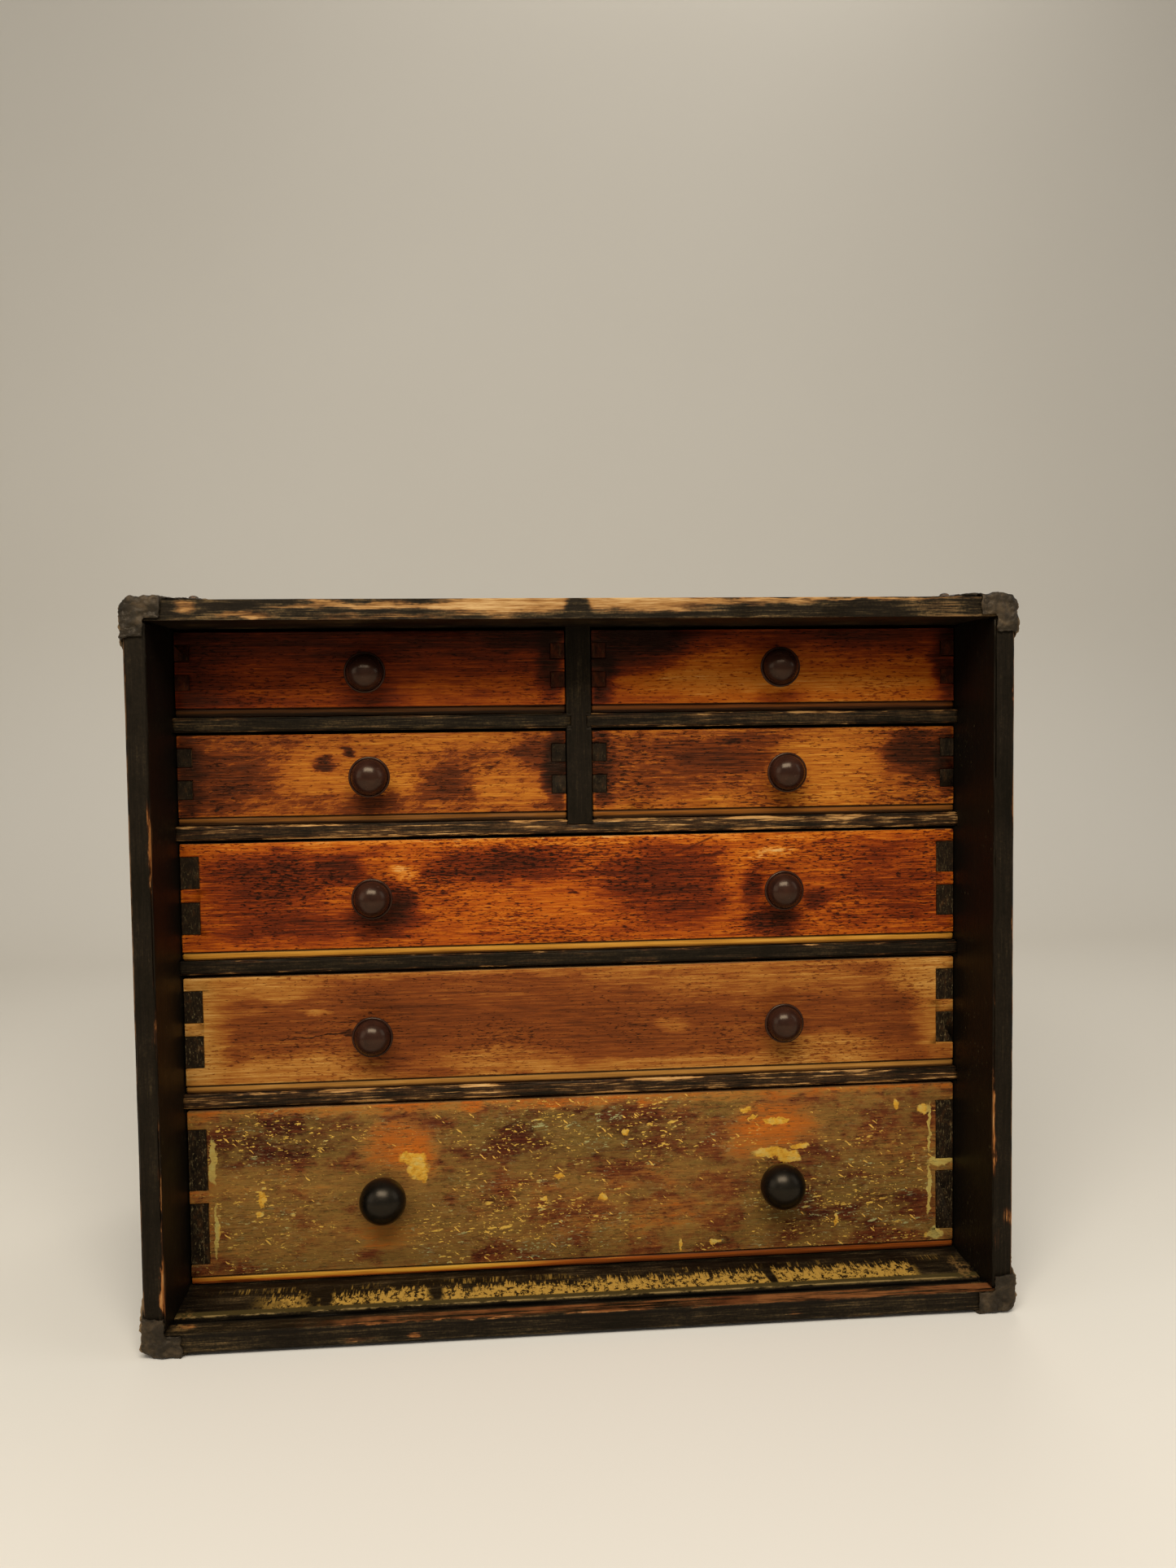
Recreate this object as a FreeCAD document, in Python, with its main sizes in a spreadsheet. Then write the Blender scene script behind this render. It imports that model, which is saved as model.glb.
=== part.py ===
"""Table-top chest of seven drawers: a dovetailed pine carcase with a deep front recess and leather corner caps.

Two short drawers side by side in each of the two upper rows, three full-width drawers below them.  Every
drawer is dovetailed at its four corners, has its bottom board nailed on from below, so that the board's edge
shows under the front, and carries turned knobs.  Frame: +Z up, the front faces -Y, and the origin is under
the centre of the chest, on the surface that it stands on.  Millimetres.
"""

import FreeCAD, Part
import math
import os
import re

import Sketcher

doc = FreeCAD.newDocument("chest_of_drawers")

# ---------------------------------------------------------------------------------------------- driving sizes
SIZES = [
    # carcase
    ("carcase_width", 430, "outside, side to side"),
    ("carcase_height", 360, "outside, without the caps"),
    ("carcase_depth", 254, "outside, front to back"),
    ("side_thick", 10.5, "side boards"),
    ("deck_thick", 10, "top and bottom boards"),
    ("corner_round", 5.5, "radius along the four long corners"),
    ("recess_depth", 51.5, "from the carcase's front edge back to the drawer fronts"),
    ("back_thick", 6, "back panel"),
    ("back_rebate", 5, "how far the back panel is let into each board"),
    ("flap_groove_setback", 9.5, "groove in the bottom board, behind the front edge"),
    ("flap_groove_width", 6, "groove front to back"),
    ("flap_groove_depth", 2, "groove depth"),
    # carcase corner dovetails
    ("corner_end_pin", 8, "half pin at the front and back of each corner"),
    ("corner_pin", 8, "pin between two tails, at its narrow side"),
    ("tail_slope", 0.14, "sideways slope of every tail"),
    # dividers
    ("divider_thick", 7.5, "boards between the rows"),
    ("divider_housing", 3, "depth of the housings in the sides"),
    ("housing_overrun", 2.5, "housing runs this far in front of its board"),
    ("divider_nose", 1.2, "rounding of a divider's front edge"),
    ("post_thick", 13, "upright partition between the short drawers"),
    ("post_offset", 1.8, "partition's centre, right of the middle"),
    ("post_housing", 2.5, "depth of the housings at the partition"),
    # heights of the openings; the bottom row takes what is left
    ("opening_top", 45, "top row"),
    ("opening_second", 48, "second row"),
    ("opening_third", 62, "third row"),
    ("opening_fourth", 62, "fourth row"),
    # drawers
    ("front_thick", 11, "drawer front"),
    ("rear_thick", 8, "drawer back"),
    ("long_side_thick", 9.5, "sides of the full-width drawers"),
    ("short_side_thick", 7.5, "sides of the short drawers"),
    ("floor_thick", 4, "drawer bottom board"),
    ("gap_side", 0.5, "beside a drawer"),
    ("gap_top", 1.6, "over a drawer"),
    ("gap_under", 0.3, "under a drawer"),
    ("gap_behind", 1, "behind a drawer"),
    ("wide_half_pin", 9.4, "half pin at one end of a drawer joint"),
    ("narrow_half_pin", 6.5, "half pin at its other end"),
    ("drawer_pin", 6.8, "pin between the two tails, at its narrow side"),
    ("wide_pin_share", 0.25, "a wide half pin is never more than this share of its board"),
    ("pin_share", 0.18, "any other pin is never more than this share of its board"),
    # how far each knob sits off the middle of its drawer, or of its half of a wide drawer
    ("across_top_left", -2.8, "to the right"),
    ("across_top_right", 0, "to the right"),
    ("across_second_left", -1.6, "to the right"),
    ("across_second_right", 3.4, "to the right"),
    ("across_third_left", -1.5, "to the right"),
    ("across_third_right", 1.5, "to the right"),
    ("across_fourth_left", -2.7, "to the right"),
    ("across_fourth_right", 1.2, "to the right"),
    ("across_bottom_left", 0.8, "to the right"),
    ("across_bottom_right", 0, "to the right"),
    ("lift_top_left", 0, "upwards"),
    ("lift_top_right", 1, "upwards"),
    ("lift_second_left", 1, "upwards"),
    ("lift_second_right", 0, "upwards"),
    ("lift_third_left", 1.2, "upwards"),
    ("lift_third_right", 0.5, "upwards"),
    ("lift_fourth_left", -0.5, "upwards"),
    ("lift_fourth_right", -0.5, "upwards"),
    ("lift_bottom_left", -1.1, "upwards"),
    ("lift_bottom_right", -2.9, "upwards"),
    # knobs
    ("spigot_dia", 8, "turned spigot glued through the drawer front"),
    ("knob_dia", 21, "rim of a small knob"),
    ("knob_projection", 20, "out of the drawer front"),
    ("knob_foot_dia", 13, "foot of a small knob"),
    ("knob_neck_dia", 9.5, "neck of a small knob"),
    ("knob_neck_out", 4, "neck's distance from the drawer front"),
    ("knob_rim_out", 10.5, "rim's distance from the drawer front"),
    ("knob_rim_thick", 1.6, "thickness of the rim"),
    ("knob_dome_dia", 18.6, "dome inside the rim"),
    ("foot_thick", 1.5, "foot of every knob"),
    ("ball_dia", 24, "widest part of a bottom drawer's knob"),
    ("ball_projection", 23, "out of the drawer front"),
    ("ball_foot_dia", 14, "foot of a bottom drawer's knob"),
    ("ball_neck_dia", 11, "neck of a bottom drawer's knob"),
    ("ball_neck_out", 3.5, "neck's distance from the drawer front"),
    ("ball_belly_out", 12, "widest part's distance from the drawer front"),
    # corner caps
    ("cap_thick", 2, "leather"),
    ("cap_edge_round", 2.4, "outside radius where the leather folds over the front"),
    ("cap_arm", 18, "reach along a board's front edge"),
    ("cap_reach", 36, "reach over the outer faces"),
    ("cap_lobe_round", 11, "radius at the end of a lobe"),
    ("cap_margin", 0.5, "bare strip between the cap and the recess"),
    # fasteners
    ("dome_dia", 5, "head of a dome nail"),
    ("dome_high", 1.5, "height of that head"),
    ("dome_shank", 1.6, "shank of a dome nail"),
    ("dome_long", 9, "shank length under the head"),
    ("nail_inset", 7, "nail's distance from the end of a lobe"),
    ("nail_spread", 10, "how far the two nails of a lobe are apart, both ways"),
    ("pin_head_dia", 2.8, "panel pin's head"),
    ("pin_head_thick", 0.6, "panel pin's head"),
    ("pin_shank", 1.4, "panel pin's shank"),
    ("pin_long", 14, "panel pin's length"),
    ("pin_inset", 2.6, "panel pin's distance from the panel's edge"),
]
CORNER_TAILS = 5
PINS_ACROSS = 5

sheet = doc.addObject("Spreadsheet::Sheet", "Sizes")
for row, (alias, value, note) in enumerate(SIZES, start=1):
    sheet.set(f"A{row}", alias)
    sheet.set(f"B{row}", str(value))
    sheet.setAlias(f"B{row}", alias)
    sheet.set(f"C{row}", note)
doc.recompute()


# -------------------------------------------------------------------------------------------- small modelling
def sized(text):
    """An expression in the sheet's aliases, as FreeCAD wants it: every alias has an underscore."""
    return re.sub(r"\b([a-z]+(?:_[a-z]+)+)\b", r"Sizes.\1", str(text))


def value_of(text):
    """The number that such an expression has now."""
    return float(sheet.evalExpression(sized(text)))


def bind(thing, **expressions):
    """Binds properties; x, y and z stand for the placement's position."""
    for name, text in expressions.items():
        target = f"Placement.Base.{name}" if name in ("x", "y", "z") else name
        thing.setExpression(target, sized(text))
    return thing


def block(name, x, y, z):
    """Part::Box from three (low, high) pairs of expressions."""
    made = doc.addObject("Part::Box", name)
    bind(made, x=x[0], y=y[0], z=z[0])
    bind(
        made,
        Length=f"({x[1]}) - ({x[0]})",
        Width=f"({y[1]}) - ({y[0]})",
        Height=f"({z[1]}) - ({z[0]})",
    )
    return made


def rod(name, centre, low, high, diameter):
    """Part::Cylinder along Y, centred on the (x, z) of centre, from low to high."""
    made = doc.addObject("Part::Cylinder", name)
    made.Placement = FreeCAD.Placement(
        FreeCAD.Vector(), FreeCAD.Rotation(FreeCAD.Vector(1, 0, 0), -90)
    )
    bind(made, x=centre[0], y=low, z=centre[1])
    bind(made, Radius=f"({diameter}) / 2", Height=f"({high}) - ({low})")
    return made


def joined(name, pieces):
    made = doc.addObject("Part::MultiFuse", name)
    made.Shapes = pieces
    return made


def gathered(name, pieces):
    made = doc.addObject("Part::Compound", name)
    made.Links = pieces
    return made


def less(name, base, tool):
    made = doc.addObject("Part::Cut", name)
    made.Base, made.Tool = base, tool
    return made


def within(name, base, tool):
    made = doc.addObject("Part::Common", name)
    made.Base, made.Tool = base, tool
    return made


def mirrored(name, source, axis, middle):
    """source mirrored across the plane that is square to axis (x, y or z) at middle."""
    made = doc.addObject("Part::Mirroring", name)
    made.Source = source
    made.Normal = FreeCAD.Vector(*(float(axis == a) for a in "xyz"))
    made.setExpression(f"Base.{axis}", sized(middle))
    return made


def draw(sketch, path):
    """A closed outline.  Each corner is (x, y), reached by a line, or (x, y, radius, side), reached by an arc
    whose centre lies to the left (side 1) or right (side -1) of the way there.  Every corner is constrained
    from the origin, and every radius, to its expression."""
    corners = [(value_of(c[0]), value_of(c[1])) for c in path]
    ends = []
    for i, corner in enumerate(path):
        a = FreeCAD.Vector(*corners[i - 1], 0)
        b = FreeCAD.Vector(*corners[i], 0)
        if len(corner) == 2:
            ends.append((sketch.addGeometry(Part.LineSegment(a, b)), 1, 2))
            continue
        radius, side = value_of(corner[2]), corner[3]
        chord = b - a
        reach = math.sqrt(radius**2 - (chord.Length / 2) ** 2)
        left = FreeCAD.Vector(-chord.y, chord.x, 0).normalize()
        centre = (a + b) / 2 + left * (side * reach)
        angles = [math.atan2(p.y - centre.y, p.x - centre.x) for p in (a, b)]
        if side < 0:
            angles.reverse()
        if angles[1] < angles[0]:
            angles[1] += 2 * math.pi
        circle = Part.Circle(centre, FreeCAD.Vector(0, 0, 1), radius)
        edge = sketch.addGeometry(Part.ArcOfCircle(circle, *angles))
        ends.append((edge, 1, 2) if side > 0 else (edge, 2, 1))
        hold = sketch.addConstraint(Sketcher.Constraint("Radius", edge, radius))
        sketch.renameConstraint(hold, f"r{i}")
        sketch.setExpression(f"Constraints.r{i}", sized(corner[2]))
    for i, (edge, _, tip) in enumerate(ends):
        following, start, _ = ends[(i + 1) % len(ends)]
        sketch.addConstraint(Sketcher.Constraint("Coincident", edge, tip, following, start))
        for kind, label, text, place, axis in (
            ("DistanceX", "x", path[i][0], corners[i][0], -2),
            ("DistanceY", "y", path[i][1], corners[i][1], -1),
        ):
            if text == "0":
                sketch.addConstraint(Sketcher.Constraint("PointOnObject", edge, tip, axis))
                continue
            hold = sketch.addConstraint(Sketcher.Constraint(kind, -1, 1, edge, tip, place))
            sketch.renameConstraint(hold, f"{label}{i}")
            sketch.setExpression(f"Constraints.{label}{i}", sized(text))


def sketch_on(body, plane, path):
    """A sketch with that outline on one of the body's own origin planes."""
    sketch = body.newObject("Sketcher::SketchObject", f"{body.Name}_sketch")
    face = next(f for f in body.Origin.OriginFeatures if f.Role == plane)
    sketch.AttachmentSupport = [(face, "")]
    sketch.MapMode = "FlatFace"
    draw(sketch, path)
    return sketch


def padded(name, plane, path, length):
    """A body that pads the outline out of the plane: XY towards +Z, YZ towards +X, XZ towards +Y."""
    body = doc.addObject("PartDesign::Body", name)
    pad = body.newObject("PartDesign::Pad", f"{name}_pad")
    pad.Profile = sketch_on(body, plane, path)
    pad.Reversed = plane == "XZ_Plane"
    bind(pad, Length=length)
    return body


def turned(name, path, rotation):
    """A body turned about its own Z from an outline of (radius, height), and then placed with that rotation."""
    body = doc.addObject("PartDesign::Body", name)
    sketch = sketch_on(body, "XZ_Plane", path)
    spin = body.newObject("PartDesign::Revolution", f"{name}_turning")
    spin.Profile = sketch
    spin.ReferenceAxis = (sketch, ["V_Axis"])
    spin.Angle = 360
    body.Placement = FreeCAD.Placement(FreeCAD.Vector(), rotation)
    return body


def rounded(body, chosen, radius):
    """A fillet on the edges of the body's tip for which chosen(edge) holds."""
    doc.recompute()
    base = body.Tip
    names = [f"Edge{i}" for i, edge in enumerate(base.Shape.Edges, 1) if chosen(edge)]
    fillet = body.newObject("PartDesign::Fillet", f"{body.Name}_round_{len(body.Group)}")
    fillet.Base = (base, names)
    bind(fillet, Radius=radius)
    return body


def runs_along(edge, axis):
    ends = edge.firstVertex().Point, edge.lastVertex().Point
    span = ends[1] - ends[0]
    return abs(getattr(span, axis)) > 0.99 * max(edge.Length, 1e-6)


def dome_radius(half_chord, rise):
    """Radius of the arc that starts square to the axis and has that half chord and rise."""
    return f"(({half_chord}) ^ 2 + ({rise}) ^ 2) / (2 * ({rise}))"


OUT_OF_FRONT = FreeCAD.Rotation(FreeCAD.Vector(1, 0, 0), 90)
UPWARDS = FreeCAD.Rotation()
OUT_OF_LEFT = FreeCAD.Rotation(FreeCAD.Vector(0, 1, 0), -90)

nodes = {}


def keep(node, thing):
    """thing is a finished sub-part under that name."""
    thing.Label = node
    nodes[node] = thing
    return thing


# ------------------------------------------------------------------------------------------- shared positions
half_width = "(carcase_width / 2)"
inner_half = "(carcase_width / 2 - side_thick)"
front = "(-carcase_depth / 2)"
rear = "(carcase_depth / 2)"
floor_low = "(cap_thick)"
floor_high = "(cap_thick + deck_thick)"
roof_low = "(cap_thick + carcase_height - deck_thick)"
roof_high = "(cap_thick + carcase_height)"
drawer_face = "(-carcase_depth / 2 + recess_depth)"
panel_face = "(carcase_depth / 2 - back_thick)"
middle_z = "(cap_thick + carcase_height / 2)"
post_left = "(post_offset - post_thick / 2)"
post_right = "(post_offset + post_thick / 2)"

row_roof = {"top": roof_low}
row_floor = {}
for upper, lower in [("top", "second"), ("second", "third"), ("third", "fourth"), ("fourth", "bottom")]:
    row_floor[upper] = f"({row_roof[upper]} - opening_{upper})"
    row_roof[lower] = f"({row_floor[upper]} - divider_thick)"
row_floor["bottom"] = floor_high


# --------------------------------------------------------------------------------------------- nails and pins
# They come first, because every board and cap has their holes cut out of it.
def dome_nail(name, place, rotation):
    """Dome-headed nail whose head rests on the leather at place."""
    rise = dome_radius("dome_dia / 2", "dome_high")
    outline = [
        ("0", "-dome_long"),
        ("dome_shank / 2", "-dome_long + dome_shank"),
        ("dome_shank / 2", "0"),
        ("dome_dia / 2", "0"),
        ("0", "dome_high", rise, 1),
    ]
    return bind(turned(name, outline, rotation), x=place[0], y=place[1], z=place[2])


nail_far = "(cap_reach - nail_inset)"
nail_near = "(cap_reach - nail_inset - nail_spread)"
flank = f"-{half_width} - cap_thick"
lid = f"{roof_high} + cap_thick"
low_nails, roof_nails = [], []
for i, (first, second) in enumerate([(nail_near, nail_far), (nail_far, nail_near)], 1):
    on_flank = (flank, f"{front} + {first}", f"{floor_low} + {second}")
    low_nails.append(dome_nail(f"low_nail_{i}", on_flank, OUT_OF_LEFT))
    on_lid = (f"-{half_width} + {first}", f"{front} + {second}", lid)
    roof_nails.append(dome_nail(f"roof_nail_{i}", on_lid, UPWARDS))
low_set = gathered("low_nails", low_nails)
left_set = gathered("left_nails", [low_set, mirrored("high_nails", low_set, "z", middle_z), *roof_nails])
front_set = gathered("front_nails", [left_set, mirrored("right_nails", left_set, "x", "0 * cap_thick")])
rear_set = mirrored("rear_nails", front_set, "y", "0 * cap_thick")
cap_nails = keep("cap_nails", gathered("cap_nails", [front_set, rear_set]))


def panel_pin(name, x, z):
    """Flat-headed pin driven through the back panel's edge into the board behind it."""
    head = rod(f"{name}_head", (x, z), rear, f"{rear} + pin_head_thick", "pin_head_dia")
    shank = rod(f"{name}_shank", (x, z), f"{rear} - pin_long", rear, "pin_shank")
    return joined(name, [head, shank])


pin_x = f"({inner_half} + back_rebate - pin_inset)"
pin_z = (f"({floor_high} - back_rebate + pin_inset)", f"({roof_low} + back_rebate - pin_inset)")
pins = []
for i in range(PINS_ACROSS):
    along = f"-{pin_x} + 2 * {pin_x} * {i + 0.5} / {PINS_ACROSS}"
    pins += [panel_pin(f"pin_across_{i + 1}_{level}", along, z) for level, z in enumerate(pin_z)]
for row in row_floor:
    along = f"(({row_floor[row]} + {row_roof[row]}) / 2)"
    pins += [panel_pin(f"pin_{row}_{end}", x, along) for end, x in enumerate((f"-{pin_x}", pin_x))]
panel_pins = keep("panel_pins", gathered("panel_pins", pins))

# ---------------------------------------------------------------------------------------------------- carcase
def envelope(name, grow, radius):
    """The carcase's outer block, grown all round, with its four long corners rounded."""
    body = padded(
        name,
        "XZ_Plane",
        [
            (f"-{half_width} - {grow}", f"{floor_low} - {grow}"),
            (f"{half_width} + {grow}", f"{floor_low} - {grow}"),
            (f"{half_width} + {grow}", f"{roof_high} + {grow}"),
            (f"-{half_width} - {grow}", f"{roof_high} + {grow}"),
        ],
        f"carcase_depth + 2 * ({grow})",
    )
    bind(body, y=f"{front} - {grow}")
    return rounded(body, lambda edge: runs_along(edge, "y"), radius)


carcase_block = envelope("carcase_block", "0 * cap_thick", "corner_round")

panel_blank = block(
    "panel_blank",
    (f"-{inner_half} - back_rebate", f"{inner_half} + back_rebate"),
    (panel_face, rear),
    (f"{floor_high} - back_rebate", f"{roof_low} + back_rebate"),
)
keep("back_panel", less("back_panel", panel_blank, panel_pins))
in_every_board = [panel_blank, panel_pins, cap_nails]


def corner_tails(side, low, high, flare_up):
    """The tails of one side board through the top board or the bottom board, as wedges along Z."""
    x = (f"-{half_width}", f"-{inner_half}") if side == "left" else (inner_half, half_width)
    pitch = f"((carcase_depth - 2 * corner_end_pin + corner_pin) / {CORNER_TAILS})"
    tails = []
    for i in range(CORNER_TAILS):
        start = f"({front} + corner_end_pin + {i} * {pitch})"
        end = f"({start} + {pitch} - corner_pin)"
        tail = doc.addObject("Part::Wedge", f"{side}_corner_tail_{i + 1}")
        tail.Placement = FreeCAD.Placement(FreeCAD.Vector(), OUT_OF_FRONT)
        slope = f"tail_slope * ({high} - {low})"
        inset = ("0", slope) if not flare_up else (slope, "0")
        # turned about X, the wedge's own Y is the chest's Z and its own Z is the chest's -Y
        bind(
            tail,
            Xmin=x[0],
            Xmax=x[1],
            X2min=x[0],
            X2max=x[1],
            Ymin=low,
            Ymax=high,
            Zmin=f"-({end}) + {inset[0]}",
            Zmax=f"-({start}) - {inset[0]}",
            Z2min=f"-({end}) + {inset[1]}",
            Z2max=f"-({start}) - {inset[1]}",
        )
        tails.append(tail)
    return tails


housings = {}
for side, low, high in (
    ("left", f"-{inner_half} - divider_housing", f"-{inner_half}"),
    ("right", inner_half, f"{inner_half} + divider_housing"),
):
    housings[side] = [
        block(
            f"{side}_housing_{row}",
            (low, high),
            (f"{drawer_face} - housing_overrun", panel_face),
            (row_roof[row], f"{row_roof[row]} + divider_thick"),
        )
        for row in ("bottom", "fourth", "third", "second")
    ]

roof_tails, floor_tails = [], []
for side in ("left", "right"):
    upper = corner_tails(side, roof_low, roof_high, True)
    lower = corner_tails(side, floor_low, floor_high, False)
    roof_tails += upper
    floor_tails += lower
    x = (f"-{half_width}", f"-{inner_half}") if side == "left" else (inner_half, half_width)
    core = block(f"side_{side}_core", x, (front, rear), (floor_high, roof_low))
    board = joined(f"side_{side}_board", [core, *upper, *lower])
    cuts = gathered(f"side_{side}_cuts", [*housings[side], *in_every_board])
    keep(f"side_{side}", within(f"side_{side}", less(f"side_{side}_cut", board, cuts), carcase_block))

post_in_roof = block(
    "post_in_roof",
    (post_left, post_right),
    (drawer_face, panel_face),
    (roof_low, f"{roof_low} + post_housing"),
)
flap_groove = block(
    "flap_groove",
    (f"-{inner_half}", inner_half),
    (f"{front} + flap_groove_setback", f"{front} + flap_groove_setback + flap_groove_width"),
    (f"{floor_high} - flap_groove_depth", floor_high),
)
for node, low, high, cutters in (
    ("top_board", roof_low, roof_high, [*roof_tails, post_in_roof, *in_every_board]),
    ("bottom_board", floor_low, floor_high, [*floor_tails, flap_groove, *in_every_board]),
):
    plank = block(f"{node}_plank", (f"-{half_width}", half_width), (front, rear), (low, high))
    cut = less(f"{node}_cut", plank, gathered(f"{node}_cuts", cutters))
    keep(node, within(node, cut, carcase_block))

# --------------------------------------------------------------------------------------------------- dividers
def divider(name, x, row):
    """A full-depth board over a row, with a rounded front edge."""
    low, high = row_roof[row], f"({row_roof[row]} + divider_thick)"
    near, far = drawer_face, panel_face
    outline = [
        (far, low),
        (far, high),
        (f"{near} + divider_nose", high),
        (near, f"{high} - divider_nose", "divider_nose", 1),
        (near, f"{low} + divider_nose"),
        (f"{near} + divider_nose", low, "divider_nose", 1),
    ]
    return bind(padded(name, "YZ_Plane", outline, f"({x[1]}) - ({x[0]})"), x=x[0])


into_sides = (f"-{inner_half} - divider_housing", f"{inner_half} + divider_housing")
for node, row in (("divider_above_bottom", "bottom"), ("divider_above_fourth", "fourth")):
    keep(node, divider(node, into_sides, row))

post_foot = block(
    "post_foot",
    (post_left, post_right),
    (drawer_face, panel_face),
    (f"{row_floor['second']} - post_housing", row_floor["second"]),
)
keep(
    "divider_above_third",
    less("divider_above_third", divider("divider_above_third_board", into_sides, "third"), post_foot),
)
short_dividers = [
    keep(
        "divider_top_left",
        divider("divider_top_left", (into_sides[0], f"{post_left} + post_housing"), "second"),
    ),
    keep(
        "divider_top_right",
        divider("divider_top_right", (f"{post_right} - post_housing", into_sides[1]), "second"),
    ),
]
post_plank = block(
    "post_plank",
    (post_left, post_right),
    (drawer_face, panel_face),
    (f"{row_floor['second']} - post_housing", f"{roof_low} + post_housing"),
)
post_cuts = gathered("post_cuts", [*short_dividers, panel_pins])
keep("centre_partition", less("centre_partition", post_plank, post_cuts))


# ------------------------------------------------------------------------------------------------------ knobs
def rimmed_knob(name):
    """Mushroom knob: foot, waisted neck, thin rim and a dome that rises inside the rim."""
    rim_top = "(knob_rim_out + knob_rim_thick)"
    rise = f"(knob_projection - {rim_top})"
    flare = ("(knob_dia / 2 - knob_neck_dia / 2)", "(knob_rim_out - knob_neck_out)")
    outline = [
        ("0", "-front_thick"),
        ("spigot_dia / 2", "-front_thick"),
        ("spigot_dia / 2", "0"),
        ("knob_foot_dia / 2", "0"),
        ("knob_foot_dia / 2", "foot_thick"),
        ("knob_neck_dia / 2", "knob_neck_out"),
        ("knob_dia / 2", "knob_rim_out", dome_radius(flare[1], flare[0]), -1),
        ("knob_dia / 2", rim_top),
        ("knob_dome_dia / 2", rim_top),
        ("0", "knob_projection", dome_radius("knob_dome_dia / 2", rise), 1),
    ]
    return turned(name, outline, OUT_OF_FRONT)


def ball_knob(name):
    """Ball knob: foot, short neck, a round belly and a plain dome."""
    rise = "(ball_projection - ball_belly_out)"
    bulge = ("(ball_belly_out - ball_neck_out)", "(ball_dia / 2 - ball_neck_dia / 2)")
    outline = [
        ("0", "-front_thick"),
        ("spigot_dia / 2", "-front_thick"),
        ("spigot_dia / 2", "0"),
        ("ball_foot_dia / 2", "0"),
        ("ball_foot_dia / 2", "foot_thick"),
        ("ball_neck_dia / 2", "ball_neck_out"),
        ("ball_dia / 2", "ball_belly_out", dome_radius(*bulge), 1),
        ("0", "ball_projection", dome_radius("ball_dia / 2", rise), 1),
    ]
    return turned(name, outline, OUT_OF_FRONT)


# ---------------------------------------------------------------------------------------------------- drawers
left_opening = (f"-{inner_half}", post_left)
right_opening = (post_right, inner_half)
full_opening = (f"-{inner_half}", inner_half)
opening_of = {"left": left_opening, "right": right_opening}
# the half pins (under, over) the two tails
wide_below = ("wide_half_pin", "narrow_half_pin")
wide_above = ("narrow_half_pin", "wide_half_pin")
share_of = {"wide_half_pin": "wide_pin_share", "narrow_half_pin": "pin_share", "drawer_pin": "pin_share"}

DRAWERS = [
    ("top_left", "top", left_opening, "short_side_thick", wide_below, ["left"], rimmed_knob),
    ("top_right", "top", right_opening, "short_side_thick", wide_below, ["right"], rimmed_knob),
    ("second_left", "second", left_opening, "short_side_thick", wide_below, ["left"], rimmed_knob),
    ("second_right", "second", right_opening, "short_side_thick", wide_below, ["right"], rimmed_knob),
    ("third", "third", full_opening, "long_side_thick", wide_below, ["left", "right"], rimmed_knob),
    ("fourth", "fourth", full_opening, "long_side_thick", wide_below, ["left", "right"], rimmed_knob),
    ("bottom", "bottom", full_opening, "long_side_thick", wide_above, ["left", "right"], ball_knob),
]


def drawer_tails(name, x, y, z, half_pins, wide_end):
    """Two tails, one over the other, between y[0] and y[1]; they are widest at wide_end (0 or 1)."""
    board = f"(({z[1]}) - ({z[0]}))"
    under, over, between = (
        f"min({pin}; {board} * {share_of[pin]})" for pin in (*half_pins, "drawer_pin")
    )
    width = f"(({board} - {under} - {over} - {between}) / 2)"
    slope = f"tail_slope * (({y[1]}) - ({y[0]}))"
    near, far = ("0", slope) if wide_end == 0 else (slope, "0")
    tails = []
    for i in range(2):
        low = f"({z[0]} + {under} + {i} * ({width} + {between}))"
        high = f"({low} + {width})"
        tail = doc.addObject("Part::Wedge", f"{name}_{i + 1}")
        bind(
            tail,
            Xmin=x[0],
            Xmax=x[1],
            X2min=x[0],
            X2max=x[1],
            Ymin=y[0],
            Ymax=y[1],
            Zmin=f"{low} + {near}",
            Zmax=f"{high} - {near}",
            Z2min=f"{low} + {far}",
            Z2max=f"{high} - {far}",
        )
        tails.append(tail)
    return tails


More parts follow.
